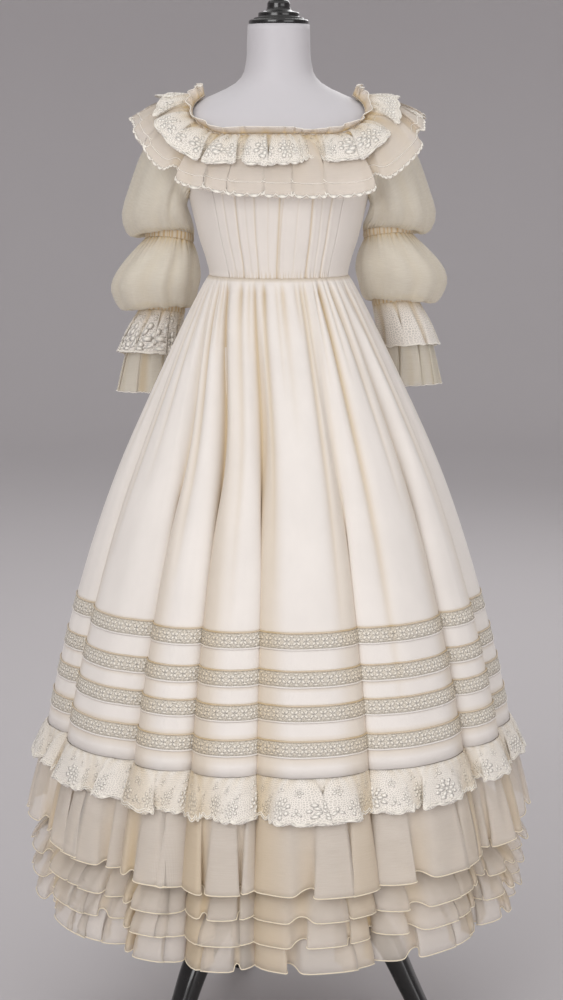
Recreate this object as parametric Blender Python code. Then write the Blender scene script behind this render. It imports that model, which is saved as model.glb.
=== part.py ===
"""A tiered long dress with a ruffled boat neck and puffed sleeves, on a limbless dress form.

Metres, +Z up, floor at 0. The front faces -Y, and the wearer's left side is at +X.
Angles are in degrees round the body: 0 at the front, 90 at the wearer's left, 180 at the back.
Every cloth piece is a closed wall. A piece that lies on another is made from the same surface,
moved out, and pieces that meet at a seam stay SEAM_GAP apart.
"""

import math
from collections import namedtuple

import bmesh
import bpy
import numpy as np

# Gaps and cloth thickness
SEAM_GAP = 0.0003
WALL = 0.0018
SHEER_WALL = 0.0015
BAND_WALL = 0.0012

# Edges sharper than this are drawn sharp
SMOOTH_ANGLE = 40.0

# Main heights above the floor
WAIST = 1.196
LACE_FLOUNCE_TOP = 0.521
LACE_FLOUNCE_BOTTOM = 0.462
SHEER_FLOUNCE_TOP = 0.530
SHEER_FLOUNCE_BOTTOM = 0.360
HUB_BOTTOM = 0.205
HUB_TOP = 0.285

# The dress form
FORM_COLUMNS = 24
FormRow = namedtuple("FormRow", "height half_width half_depth shift")
FORM = (
    # heights are above the waist seam
    FormRow(-0.230, 0.138, 0.108, 0.000),
    FormRow(-0.170, 0.136, 0.107, 0.000),
    FormRow(-0.110, 0.128, 0.102, 0.000),
    FormRow(-0.055, 0.112, 0.090, 0.000),
    FormRow(-0.025, 0.103, 0.083, 0.000),
    FormRow(0.000, 0.0985, 0.080, 0.000),
    FormRow(0.025, 0.1035, 0.084, -0.002),
    FormRow(0.055, 0.1130, 0.090, -0.004),
    FormRow(0.085, 0.1205, 0.0965, -0.005),
    FormRow(0.110, 0.1265, 0.101, -0.006),
    FormRow(0.150, 0.138, 0.103, -0.004),
    FormRow(0.190, 0.150, 0.095, -0.002),
    FormRow(0.215, 0.155, 0.083, 0.002),
    FormRow(0.235, 0.149, 0.073, 0.006),
    FormRow(0.2525, 0.124, 0.063, 0.010),
    FormRow(0.266, 0.093, 0.056, 0.012),
    FormRow(0.278, 0.068, 0.052, 0.013),
    FormRow(0.290, 0.055, 0.050, 0.014),
    FormRow(0.310, 0.0485, 0.0475, 0.014),
    FormRow(0.340, 0.0465, 0.0465, 0.013),
    FormRow(0.365, 0.0455, 0.0460, 0.012),
)
WAIST_ROW = 5
# steps that a surface's slope is read over
SMALL_TURN = 0.5
SMALL_RISE = 0.001

# Turned pieces: the neck cap above the neck, the pole and the hub
TurnRow = namedtuple("TurnRow", "height radius")
CAP = (
    TurnRow(0.0000, 0.0440),
    TurnRow(0.0060, 0.0440),
    TurnRow(0.0085, 0.0370),
    TurnRow(0.0110, 0.0300),
    TurnRow(0.0170, 0.0300),
    TurnRow(0.0200, 0.0190),
    TurnRow(0.0250, 0.0170),
    TurnRow(0.0310, 0.0165),
    TurnRow(0.0360, 0.0100),
    TurnRow(0.0430, 0.0095),
    TurnRow(0.0500, 0.0150),
    TurnRow(0.0600, 0.0170),
    TurnRow(0.0700, 0.0130),
    TurnRow(0.0750, 0.0060),
)
HUB = (
    TurnRow(0.000, 0.012),
    TurnRow(0.010, 0.024),
    TurnRow(0.020, 0.032),
    TurnRow(0.062, 0.032),
    TurnRow(0.070, 0.024),
    TurnRow(0.080, 0.020),
)
CAP_COLUMNS = 20
POLE_COLUMNS = 16
HUB_COLUMNS = 24
POLE_RADIUS = 0.0125

# Curved legs, as sections from the hub to the sole
LegRow = namedtuple("LegRow", "reach height width depth lean")
LEG = (
    # lean is the section's tilt from upright, 90 at the flat sole
    LegRow(0.0323, 0.247, 0.036, 0.036, 0),
    LegRow(0.0650, 0.245, 0.040, 0.040, 10),
    LegRow(0.1050, 0.232, 0.044, 0.042, 30),
    LegRow(0.1450, 0.200, 0.043, 0.040, 50),
    LegRow(0.1800, 0.152, 0.040, 0.036, 62),
    LegRow(0.2080, 0.096, 0.036, 0.032, 68),
    LegRow(0.2340, 0.042, 0.034, 0.032, 75),
    LegRow(0.2500, 0.000, 0.040, 0.050, 90),
)
LEG_ANGLES = (-45.0, 75.0, 195.0)
LEG_SIDES = 10
LEG_SQUARENESS = 0.7

# Neckline, armhole and bodice seams
NECK_FRONT = 0.195
NECK_SIDE = 0.2490
NECK_BACK = 0.205
NECK_RISE_START = 28.0
NECK_RISE_END = 80.0
UNDERARM = 0.115
ARMHOLE_HALF = 38.57
ARMHOLE_GAP = 0.0007
PANEL_EDGE = 45.0
BODICE_CLEARANCE = 0.0030
PLEAT_DEPTH = 0.0016
PLEAT_COLUMNS = 17
BODICE_ROWS = 7
SIDE_COLUMNS = 7
BACK_COLUMNS = 11

# Collar: casing, standing frill and two tiers
CASING_COLUMNS = 48
CASING_GAP = 0.0015
CASING_HEIGHT = 0.009
FRILL_GAP = 0.0008
FRILL_HEIGHT = 0.017
FRILL_WAVE = 0.0035
FRILL_TUCK = 0.0010
COLLAR_WAVES = 18
WAVE_PHASES = (-0.6, 0.4, 1.0, 0.2)
Tier = namedtuple("Tier", "start lift front_out front_drop side_out side_drop wave wall")
LACE_TIER = Tier(0.0088, 0.0020, 0.042, 0.047, 0.064, 0.008, 0.0065, 0.0015)
SHEER_TIER = Tier(0.0046, 0.0022, 0.042, 0.090, 0.094, 0.034, 0.0060, 0.0015)
TIER_STEPS = (0.0, 0.5, 1.0)
TIER_REACH = 0.8
TIER_FALL = 1.6
# how late round the body a tier takes its side sizes
TIER_SIDE_SHARPNESS = 2.5

# Sleeves: each ring runs from its outer point to its inner point
SLEEVE_COLUMNS = 18
CUFF_PHASES = (-0.2, 1.0, -0.2)
# how far the wall's end turns towards the ring's own plane
END_SPREAD = 0.6
SIDE_DROP = 0.006
Ring = namedtuple("Ring", "outer_x outer_z inner_x inner_z y half_deep front_lift ruffle")
SLEEVE_UPPER = (
    # heights are above the waist seam, and the first ring is the armhole's own loop
    Ring(0.166, 0.236, 0.1370, 0.104, 0.004, 0.062, 0.000, 0.0000),
    Ring(0.199, 0.185, 0.1350, 0.095, 0.009, 0.071, 0.000, 0.0000),
    Ring(0.221, 0.130, 0.1325, 0.087, 0.015, 0.073, 0.000, 0.0000),
    Ring(0.234, 0.087, 0.1300, 0.079, 0.021, 0.066, 0.003, 0.0000),
    Ring(0.223, 0.058, 0.1275, 0.071, 0.027, 0.053, 0.005, 0.0000),
    Ring(0.2005, 0.066, 0.1275, 0.060, 0.031, 0.038, 0.008, 0.0000),
)
BAND_UPPER = (
    Ring(0.2005, 0.066, 0.1275, 0.060, 0.031, 0.038, 0.008, 0.0000),
    Ring(0.2015, 0.055, 0.1285, 0.049, 0.033, 0.038, 0.008, 0.0000),
)
SLEEVE_LOWER = (
    Ring(0.2015, 0.055, 0.1285, 0.049, 0.033, 0.038, 0.008, 0.0000),
    Ring(0.228, 0.028, 0.1220, 0.027, 0.040, 0.052, 0.004, 0.0000),
    Ring(0.249, 0.000, 0.1190, 0.003, 0.049, 0.062, 0.002, 0.0000),
    Ring(0.254, -0.024, 0.1230, -0.017, 0.058, 0.062, 0.002, 0.0000),
    Ring(0.240, -0.053, 0.1310, -0.045, 0.072, 0.055, 0.004, 0.0000),
    Ring(0.2165, -0.046, 0.1440, -0.050, 0.079, 0.037, 0.008, 0.0000),
)
BAND_LOWER = (
    Ring(0.2165, -0.046, 0.1440, -0.050, 0.079, 0.037, 0.008, 0.0000),
    Ring(0.2175, -0.056, 0.1450, -0.060, 0.083, 0.037, 0.008, 0.0000),
)
CUFF_LACE = (
    Ring(0.2175, -0.056, 0.1450, -0.060, 0.083, 0.037, 0.008, 0.0000),
    Ring(0.2360, -0.090, 0.1520, -0.092, 0.101, 0.045, 0.008, 0.0030),
    Ring(0.2490, -0.123, 0.1580, -0.127, 0.113, 0.050, 0.007, 0.0045),
)
CUFF_SHEER = (
    Ring(0.2172, -0.060, 0.1480, -0.064, 0.085, 0.0355, 0.008, 0.0000),
    Ring(0.2260, -0.092, 0.1610, -0.094, 0.101, 0.035, 0.008, 0.0020),
    Ring(0.2390, -0.127, 0.1660, -0.131, 0.116, 0.040, 0.007, 0.0030),
    Ring(0.2540, -0.187, 0.1640, -0.191, 0.143, 0.047, 0.005, 0.0045),
)
SleevePiece = namedtuple("SleevePiece", "name finish_name rows from_armhole")
SLEEVE_PIECES = (
    SleevePiece("puff_upper", "sleeve_organza", SLEEVE_UPPER, True),
    SleevePiece("band_upper", "elastic", BAND_UPPER, False),
    SleevePiece("puff_lower", "sleeve_organza", SLEEVE_LOWER, False),
    SleevePiece("band_lower", "elastic", BAND_LOWER, False),
    SleevePiece("cuff_lace", "lace", CUFF_LACE, False),
    SleevePiece("cuff_sheer", "sleeve_organza", CUFF_SHEER, False),
)

# Skirt outline: crest of the folds, and how far the troughs lie inside it
SkirtRow = namedtuple("SkirtRow", "height half_width half_depth fold gather")
SKIRT = (
    # heights are above the floor
    SkirtRow(1.1957, 0.1060, 0.0875, 0.000, 0.0028),
    SkirtRow(1.159, 0.1265, 0.1100, 0.003, 0.0030),
    SkirtRow(1.099, 0.1570, 0.1410, 0.008, 0.0030),
    SkirtRow(1.0300, 0.1900, 0.1730, 0.0140, 0.0),
    SkirtRow(0.9000, 0.2480, 0.2280, 0.0240, 0.0),
    SkirtRow(0.7200, 0.3080, 0.2880, 0.0330, 0.0),
    SkirtRow(0.5210, 0.3570, 0.3360, 0.0383, 0.0),
    SkirtRow(0.3920, 0.3790, 0.3580, 0.0400, 0.0),
    SkirtRow(0.2400, 0.3860, 0.3660, 0.0400, 0.0),
)
FINE_ROWS = 3
PANEL_ROWS = 7

# Large folds: each runs from its own trough to the next one
Fold = namedtuple("Fold", "trough_angle depth_share")
FOLDS = (
    Fold(-92.0, 0.7),
    Fold(-69.0, 0.9),
    Fold(-38.5, 1.0),
    Fold(-22.0, 1.15),
    Fold(-6.4, 1.15),
    Fold(23.0, 0.8),
    Fold(54.7, 1.0),
    Fold(73.0, 0.9),
    Fold(97.0, 0.7),
    Fold(125.0, 1.0),
    Fold(152.0, 0.9),
    Fold(180.0, 1.1),
    Fold(208.0, 0.9),
    Fold(237.0, 1.0),
)
FRONT_FOLDS = 8
FOLD_PHASES = (0.0, 0.22, 0.5, 0.78)
TROUGH_SHARPNESS = 2.0

# Lace bands on the skirt, as centre heights
BAND_CENTRES = (0.706, 0.655, 0.608, 0.560)
BAND_HEIGHT = 0.0195
BAND_LIFT = 0.0005

# Gathered flounces and under tiers: offset is outwards from the skirt's outline
FlounceRow = namedtuple("FlounceRow", "height offset wave folded")
LACE_FLOUNCE = (
    FlounceRow(LACE_FLOUNCE_TOP - SEAM_GAP, 0.0000, 0.000, 1.0),
    FlounceRow(0.492, 0.0060, 0.003, 1.0),
    FlounceRow(LACE_FLOUNCE_BOTTOM, 0.0110, 0.005, 1.0),
)
SHEER_FLOUNCE = (
    FlounceRow(SHEER_FLOUNCE_TOP, -0.0040, 0.000, 1.0),
    FlounceRow(LACE_FLOUNCE_BOTTOM, 0.0000, 0.004, 1.0),
    FlounceRow(0.410, 0.0030, 0.007, 1.0),
    FlounceRow(SHEER_FLOUNCE_BOTTOM, 0.0060, 0.010, 1.0),
)
UnderTier = namedtuple("UnderTier", "top bottom offset")
UNDER_TIERS = (
    UnderTier(0.400, 0.3205, -0.0020),
    UnderTier(0.368, 0.2830, -0.0055),
    UnderTier(0.345, 0.2450, -0.0090),
)
UNDER_TIER_SEAT = 0.0010
FLOUNCE_PHASES = (-1.0, 1.0, -0.6, 0.8)

# Plain underskirt that carries the under tiers, cut in two rings
UNDERSKIRT_COLUMNS = 28
UnderskirtRow = namedtuple("UnderskirtRow", "height inset")
UNDERSKIRT = (
    UnderskirtRow(1.099, 0.0145),
    UnderskirtRow(0.900, 0.0340),
    UnderskirtRow(0.720, 0.0460),
    UnderskirtRow(0.400, 0.0660),
    UnderskirtRow(0.335, 0.0700),
)
UNDERSKIRT_SEAM_ROW = 2

Finish = namedtuple("Finish", "colour roughness metallic")
FINISHES = {
    "cotton": Finish("E8E0D6", 0.85, 0.0),
    "organza": Finish("D8CFB8", 0.55, 0.0),
    "sleeve_organza": Finish("CEC49F", 0.55, 0.0),
    "lace": Finish("F0EBE1", 0.80, 0.0),
    "elastic": Finish("C9A85F", 0.80, 0.0),
    "form": Finish("E4E5E9", 0.45, 0.0),
    "lacquered_wood": Finish("15120F", 0.25, 0.0),
}


def linear_channel(value):
    """One sRGB channel, 0 to 1, as linear light."""
    return value / 12.92 if value <= 0.04045 else ((value + 0.055) / 1.055) ** 2.4


def make_material(name, finish):
    channels = [int(finish.colour[i : i + 2], 16) / 255 for i in (0, 2, 4)]
    material = bpy.data.materials.new(name)
    material.use_nodes = True
    shader = material.node_tree.nodes["Principled BSDF"]
    shader.inputs["Base Color"].default_value = [linear_channel(c) for c in channels] + [1.0]
    shader.inputs["Roughness"].default_value = finish.roughness
    shader.inputs["Metallic"].default_value = finish.metallic
    return material


def clear_scene():
    for item in list(bpy.data.objects):
        bpy.data.objects.remove(item, do_unlink=True)


def add_solid(name, finish_name, points, faces):
    """A closed mesh object with its faces turned outwards and its own material."""
    mesh = bpy.data.meshes.new(name)
    mesh.from_pydata([tuple(point) for point in points], [], faces)
    work = bmesh.new()
    work.from_mesh(mesh)
    bmesh.ops.recalc_face_normals(work, faces=work.faces)
    work.to_mesh(mesh)
    work.free()
    mesh.shade_smooth()
    mesh.set_sharp_from_angle(angle=math.radians(SMOOTH_ANGLE))
    solid = bpy.data.objects.new(name, mesh)
    solid.data.materials.append(make_material(name, FINISHES[finish_name]))
    bpy.context.scene.collection.objects.link(solid)
    return solid


def smooth_column(rows, column, heights):
    """A table column as a smooth curve of height, read at the given heights."""
    order = sorted(rows, key=lambda row: row.height)
    known = np.array([row.height for row in order])
    values = np.array([getattr(row, column) for row in order])
    slopes = np.gradient(values, known)
    at = np.clip(heights, known[0], known[-1])
    first = np.clip(np.searchsorted(known, at) - 1, 0, len(known) - 2)
    span = known[first + 1] - known[first]
    t = (at - known[first]) / span
    start = (1 + 2 * t) * (1 - t) ** 2 * values[first] + t * (1 - t) ** 2 * span * slopes[first]
    end = t**2 * (3 - 2 * t) * values[first + 1] - t**2 * (1 - t) * span * slopes[first + 1]
    return start + end


def ring_faces(first, second, closed):
    """Faces between two rows of point numbers. The first row may have twice the points."""
    faces = []
    step = 2 if len(first) > len(second) + 1 else 1
    spans = len(second) if closed else len(second) - 1
    for low in range(spans):
        high = (low + 1) % len(second)
        a = first[low * step]
        b = first[(low * step + step) % len(first)]
        if step == 1:
            faces.append((a, b, second[high], second[low]))
            continue
        middle = first[low * step + 1]
        faces.append((a, middle, second[low]))
        faces.append((middle, second[high], second[low]))
        faces.append((middle, b, second[high]))
    return faces


def add_wall(name, finish_name, outer, inner, closed=True):
    """A cloth wall between two lists of rows of points, with its rims closed."""
    points = np.concatenate([np.asarray(row) for row in list(outer) + list(inner)])
    numbers = []
    count = 0
    for row in list(outer) + list(inner):
        numbers.append(list(range(count, count + len(row))))
        count += len(row)
    outside = numbers[: len(outer)]
    inside = numbers[len(outer) :]
    faces = []
    for rows in (outside, inside):
        for upper, lower in zip(rows, rows[1:]):
            faces += ring_faces(upper, lower, closed)
    faces += ring_faces(outside[0], inside[0], closed)
    faces += ring_faces(outside[-1], inside[-1], closed)
    if not closed:
        for end in (0, -1):
            left = [row[end] for row in outside]
            right = [row[end] for row in inside]
            faces += ring_faces(left, right, False)
    return add_solid(name, finish_name, points, faces)


def add_turned(name, finish_name, rows, base, columns, centre_y=0.0):
    """A solid of revolution from (height, radius) rows, closed flat at both ends."""
    turn = np.linspace(0.0, 2 * math.pi, columns, endpoint=False)
    rings = [
        np.stack(
            [
                row.radius * np.sin(turn),
                centre_y - row.radius * np.cos(turn),
                np.full(columns, base + row.height),
            ],
            axis=-1,
        )
        for row in rows
    ]
    return add_capped(name, finish_name, rings)


def add_capped(name, finish_name, rings):
    """A solid through closed rings of equal count, with a flat face at both ends."""
    columns = len(rings[0])
    numbers = [list(range(i * columns, (i + 1) * columns)) for i in range(len(rings))]
    faces = [tuple(numbers[0]), tuple(numbers[-1])]
    for upper, lower in zip(numbers, numbers[1:]):
        faces += ring_faces(upper, lower, True)
    return add_solid(name, finish_name, np.concatenate(rings), faces)


def form_point(angle, height):
    """Points on the dress form's surface, with height measured from the waist seam."""
    turn = np.radians(angle)
    half_width = smooth_column(FORM, "half_width", height)
    half_depth = smooth_column(FORM, "half_depth", height)
    shift = smooth_column(FORM, "shift", height)
    x = half_width * np.sin(turn)
    y = shift - half_depth * np.cos(turn)
    return np.stack([x, y, WAIST + height + 0.0 * x], axis=-1)


def unit(vectors):
    return vectors / np.linalg.norm(vectors, axis=-1, keepdims=True)


def lifted(angle, height, clearance):
    """Points moved off the form's surface by a clearance along its normal."""
    angle, height = np.broadcast_arrays(np.asarray(angle, float), np.asarray(height, float))
    along = form_point(angle + SMALL_TURN, height) - form_point(angle - SMALL_TURN, height)
    upward = form_point(angle, height + SMALL_RISE) - form_point(angle, height - SMALL_RISE)
    normal = unit(np.cross(along, upward))
    return form_point(angle, height) + normal * np.asarray(clearance)[..., None]


def neckline(angle):
    """Height of the neckline: level across the front, rising steeply at the shoulders."""
    folded = np.abs((np.asarray(angle) + 180.0) % 360.0 - 180.0)
    middle = np.where(folded < 90.0, NECK_FRONT, NECK_BACK)
    to_side = 90.0 - np.abs(90.0 - folded)
    share = np.clip((to_side - NECK_RISE_START) / (NECK_RISE_END - NECK_RISE_START), 0.0, 1.0)
    return middle + (NECK_SIDE - middle) * share**2 * (3 - 2 * share)


def bodice_top(angle):
    """Upper edge of the bodice: the neckline, and the armhole's lower curve at the sides."""
    folded = np.abs((np.asarray(angle) + 180.0) % 360.0 - 180.0)
    share = (90.0 - folded) / ARMHOLE_HALF
    notch = neckline(90.0 - ARMHOLE_HALF * np.sign(share))
    fall = (notch - UNDERARM) * np.sqrt(np.clip(1 - share**2, 0.0, 1.0))
    return np.where(np.abs(share) >= 1, neckline(folded), notch - fall)


def grid_normals(points, centres):
    """Outward normals of a closed tube of rings, shaped (rings, columns, 3)."""
    along = np.roll(points, -1, axis=1) - np.roll(points, 1, axis=1)
    down = np.gradient(points, axis=0)
    normals = unit(np.cross(along, down))
    outward = np.sum((points - centres) * normals)
    return normals if outward > 0 else -normals


def add_form():
    angles = np.linspace(0.0, 360.0, FORM_COLUMNS, endpoint=False)
    rings = [form_point(angles, np.full(FORM_COLUMNS, row.height)) for row in FORM]
    add_capped("form_torso", "form", rings)


def add_stand():
    neck_top = WAIST + FORM[-1].height + SEAM_GAP
    add_turned("neck_cap", "lacquered_wood", CAP, neck_top, CAP_COLUMNS, FORM[-1].shift)
    pole_rows = (
        TurnRow(HUB_TOP + SEAM_GAP, POLE_RADIUS),
        TurnRow(WAIST + FORM[0].height - SEAM_GAP, POLE_RADIUS),
    )
    add_turned("stand_pole", "lacquered_wood", pole_rows, 0.0, POLE_COLUMNS)
    add_turned("stand_hub", "lacquered_wood", HUB, HUB_BOTTOM, HUB_COLUMNS)
    for number, angle in enumerate(LEG_ANGLES, start=1):
        add_leg(f"stand_leg_{number}", math.radians(angle))


def add_leg(name, turn):
    """A tapering leg of rounded square section, in the upright plane at this angle."""
    outward = np.array([math.sin(turn), -math.cos(turn), 0.0])
    sideways = np.array([math.cos(turn), math.sin(turn), 0.0])
    up = np.array([0.0, 0.0, 1.0])
    half_side = math.pi / LEG_SIDES
    around = half_side + np.arange(LEG_SIDES) * 2 * half_side
    across = np.sign(np.cos(around)) * np.abs(np.cos(around)) ** LEG_SQUARENESS
    through = np.sign(np.sin(around)) * np.abs(np.sin(around)) ** LEG_SQUARENESS
    rings = []
    for row in LEG:
        lean = math.radians(row.lean)
        upward = math.cos(lean) * up + math.sin(lean) * outward
        centre = row.reach * outward + row.height * up
        ring = centre + across[:, None] * sideways * row.width / 2
        rings.append(ring + through[:, None] * upward * row.depth / 2)
    add_capped(name, "lacquered_wood", rings)


def add_bodice_panel(name, angles, pleats):
    """One bodice panel between two seams, from the waist to the neckline or armhole."""
    rows_up = np.linspace(0.0, 1.0, BODICE_ROWS)
    outer = []
    inner = []
    for share in rows_up:
        heights = SEAM_GAP + share * (bodice_top(angles) - SEAM_GAP)
        inner.append(lifted(angles, heights, np.full(len(angles), BODICE_CLEARANCE)))
        outer.append(lifted(angles, heights, BODICE_CLEARANCE + WALL + pleats))
    add_wall(name, "cotton", outer, inner, closed=False)


def add_bodice():
    seam = math.degrees(SEAM_GAP / FORM[WAIST_ROW].half_width) / 2
    front = np.linspace(-PANEL_EDGE + seam, PANEL_EDGE - seam, PLEAT_COLUMNS)
    pleats = np.where(np.arange(PLEAT_COLUMNS) % 2 == 1, PLEAT_DEPTH, 0.0)
    add_bodice_panel("bodice_front", front, pleats)
    side = np.linspace(PANEL_EDGE + seam, 90.0 - seam, SIDE_COLUMNS)
    back = np.linspace(90.0 + seam, 180.0 - seam, BACK_COLUMNS)
    for label, sign in (("left", 1.0), ("right", -1.0)):
        add_bodice_panel(f"bodice_side_{label}", sign * side, np.zeros(SIDE_COLUMNS))
        add_bodice_panel(f"bodice_back_{label}", sign * back, np.zeros(BACK_COLUMNS))


def add_casing():
    """The elastic channel, standing on the upper edges of the bodice and the sleeves."""
    angles = np.linspace(0.0, 360.0, CASING_COLUMNS, endpoint=False)
    bottom = neckline(angles) + CASING_GAP
    edges = (bottom + CASING_HEIGHT, bottom)
    outer = [lifted(angles, height, BODICE_CLEARANCE + WALL) for height in edges]
    inner = [lifted(angles, height, BODICE_CLEARANCE) for height in edges]
    add_wall("neck_casing", "organza", outer, inner)


def collar_columns():
    """Angles and wave phases of the gathered collar pieces."""
    columns = COLLAR_WAVES * len(WAVE_PHASES)
    angles = np.linspace(0.0, 360.0, columns, endpoint=False)
    return angles, np.tile(WAVE_PHASES, COLLAR_WAVES)


def flat_outward(angles):
    turn = np.radians(angles)
    return np.stack([np.sin(turn), -np.cos(turn), 0.0 * turn], axis=-1)


def add_frill():
    """The gathered heading that stands up from the casing."""
    angles, phases = collar_columns()
    height = neckline(angles) + CASING_GAP + CASING_HEIGHT + FRILL_GAP
    start = lifted(angles, height, BODICE_CLEARANCE + WALL)
    outward = flat_outward(angles)
    up = np.array([0.0, 0.0, 1.0])
    top = start + up * FRILL_HEIGHT + outward * (FRILL_WAVE * phases - FRILL_TUCK)[:, None]
    outer = [top, start]
    inner = [row - outward * SHEER_WALL for row in outer]
    add_wall("neck_frill", "organza", outer, inner)


def add_collar_tier(name, finish_name, tier):
    """A gathered tier that leaves the neckline outwards and falls to its free edge."""
    angles, phases = collar_columns()
    turn = np.radians(angles)
    side = (np.abs(np.sin(turn)) ** TIER_SIDE_SHARPNESS)[:, None]
    outward = flat_outward(angles)
    up = np.array([0.0, 0.0, 1.0])
    start = lifted(angles, neckline(angles) + tier.start, BODICE_CLEARANCE + WALL + tier.lift)
    out = tier.front_out + (tier.side_out - tier.front_out) * side
    drop = tier.front_drop + (tier.side_drop - tier.front_drop) * side
    rows = np.array([start + outward * out * t**TIER_REACH - up * drop * t**TIER_FALL for t in TIER_STEPS])
    along = np.roll(rows, -1, axis=1) - np.roll(rows, 1, axis=1)
    normals = unit(np.cross(along, -np.gradient(rows, axis=0)))
    wave = tier.wave * np.array(TIER_STEPS)[:, None, None] * phases[None, :, None]
    outer = rows + normals * wave
    inner = outer - normals * tier.wall
    add_wall(name, finish_name, outer, inner)


def armhole_loop(around):
    """The sleeve's first ring, on the neckline above and the armhole's curve below."""
    angles = 90.0 - ARMHOLE_HALF * np.sin(around)
    heights = np.where(np.cos(around) >= 0, neckline(angles), bodice_top(angles))
    over_bodice = BODICE_CLEARANCE + WALL + ARMHOLE_GAP
    return lifted(angles, heights, over_bodice + SHEER_WALL * (1 + np.cos(around)) / 2)


def sleeve_rings(rows, around):
    """Ring points and their centres, for a table of sleeve rings."""
    ruffles = np.tile(CUFF_PHASES, SLEEVE_COLUMNS // len(CUFF_PHASES))
    rings = []
    centres = []
    for row in rows:
        outer = np.array([row.outer_x, row.y, WAIST + row.outer_z])
        inner = np.array([row.inner_x, row.y, WAIST + row.inner_z])
        centre = (outer + inner) / 2
        reach = (outer - inner) / 2
        deep = np.array([0.0, -row.half_deep, row.front_lift])
        shape = np.cos(around)[:, None] * reach + np.sin(around)[:, None] * deep
        size = np.linalg.norm(shape, axis=-1, keepdims=True)
        rings.append(centre + shape * (1 + row.ruffle * ruffles[:, None] / size))
        centres.append(np.tile(centre, (SLEEVE_COLUMNS, 1)))
    return np.array(rings), np.array(centres)


def add_sleeve_piece(name, piece, sign):
    """One gathered length of sleeve, mirrored to its side and hung a little lower or higher."""
    around = np.linspace(0.0, 2 * math.pi, SLEEVE_COLUMNS, endpoint=False)
    rings, centres = sleeve_rings(piece.rows, around)
    if piece.from_armhole:
        first = armhole_loop(around)
        rings = np.concatenate([first[None], rings])
        centres = np.concatenate([np.broadcast_to(first.mean(axis=0), first.shape)[None], centres])
    normals = grid_normals(rings, centres)
    normals[-1] = unit(normals[-1] + END_SPREAD * unit(rings[-1] - centres[-1]))
    if not piece.from_armhole:
        normals[0] = unit(normals[0] + END_SPREAD * unit(rings[0] - centres[0]))
    walls = []
    for skin in (rings, rings - normals * SHEER_WALL):
        moved = skin.copy()
        fall = np.clip((WAIST + UNDERARM - moved[..., 2]) / UNDERARM, 0.0, 1.0)
        moved[..., 2] += sign * SIDE_DROP * fall
        moved[..., 0] *= sign
        walls.append(moved)
    outer, inner = walls
    if not piece.from_armhole:
        outer[0, :, 2] -= SEAM_GAP
        inner[0, :, 2] -= SEAM_GAP
    add_wall(name, piece.finish_name, outer, inner)


def add_sleeves():
    for label, sign in (("left", 1.0), ("right", -1.0)):
        for piece in SLEEVE_PIECES:
            add_sleeve_piece(f"sleeve_{label}_{piece.name}", piece, sign)


def fold_columns(phases):
    """Angle and trough depth, 0 to 1 or a little more, of each column round the skirt."""
    angles = []
    troughs = []
    for number, fold in enumerate(FOLDS):
        following = FOLDS[(number + 1) % len(FOLDS)]
        end = following.trough_angle + (360.0 if number == len(FOLDS) - 1 else 0.0)
        for phase in phases:
            share = fold.depth_share if phase < 0.5 else following.depth_share
            narrow = ((1 + math.cos(2 * math.pi * phase)) / 2) ** TROUGH_SHARPNESS
            angles.append(fold.trough_angle + phase * (end - fold.trough_angle))
            troughs.append(share * narrow)
    return np.array(angles), np.array(troughs)


def halved(phases):
    """The same phases with one more between each two."""
    later = list(phases[1:]) + [1.0]
    pairs = [(phase, (phase + following) / 2) for phase, following in zip(phases, later)]
    return tuple(value for pair in pairs for value in pair)


def skirt_ring(angles, inset, height):
    """A level ring round the skirt, inside its outline by an inset that may vary."""
    turn = np.radians(angles)
    half_width = smooth_column(SKIRT, "half_width", height) - inset
    half_depth = smooth_column(SKIRT, "half_depth", height) - inset
    level = np.full(len(angles), height)
    return np.stack([half_width * np.sin(turn), -half_depth * np.cos(turn), level], axis=-1)


def skirt_rings(inset):
    """The skirt panels' rings from waist to hem strip: fine gathers first, then large folds."""
    rings = []
    for number, row in enumerate(SKIRT[:PANEL_ROWS]):
        fine = number < FINE_ROWS
        angles, troughs = fold_columns(halved(FOLD_PHASES) if fine else FOLD_PHASES)
        gathers = np.where(np.arange(len(angles)) % 2 == 0, 1.0, 0.0)
        depth = row.fold * troughs + row.gather * gathers
        rings.append(skirt_ring(angles, depth + inset, row.height))
    return rings


def opened(rings, first, last):
    """Rings cut from one fold's trough to another's, with both ends drawn in by half a seam."""
    cut = []
    for ring in rings:
        step = len(ring) // len(FOLDS)
        columns = np.arange(first * step, last * step + 1) % len(ring)
        piece = ring[columns].copy()
        for end, beside in ((0, 1), (-1, -2)):
            piece[end] += unit(piece[beside] - piece[end]) * SEAM_GAP / 2
        cut.append(piece)
    return cut


def add_skirt():
    outer = skirt_rings(0.0)
    inner = skirt_rings(WALL)
    panels = (("skirt_front", 0, FRONT_FOLDS), ("skirt_back", FRONT_FOLDS, len(FOLDS)))
    for name, first, last in panels:
        walls = (opened(outer, first, last), opened(inner, first, last))
        add_wall(name, "cotton", *walls, closed=False)


def add_insertion_bands():
    """Lace bands on the skirt, made from its own lower rings and moved out."""
    upper = skirt_rings(0.0)[PANEL_ROWS - 2]
    lower = skirt_rings(0.0)[PANEL_ROWS - 1]
    for number, centre in enumerate(BAND_CENTRES, start=1):
        skins = []
        for distance in (BAND_LIFT + BAND_WALL, BAND_LIFT):
            rows = []
            for height in (centre + BAND_HEIGHT / 2, centre - BAND_HEIGHT / 2):
                share = (upper[0, 2] - height) / (upper[0, 2] - lower[0, 2])
                ring = upper + (lower - upper) * share
                flat = ring * np.array([1.0, 1.0, 0.0])
                rows.append(ring + unit(flat) * distance)
            skins.append(rows)
        add_wall(f"insertion_lace_{number}", "lace", skins[0], skins[1])


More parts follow.
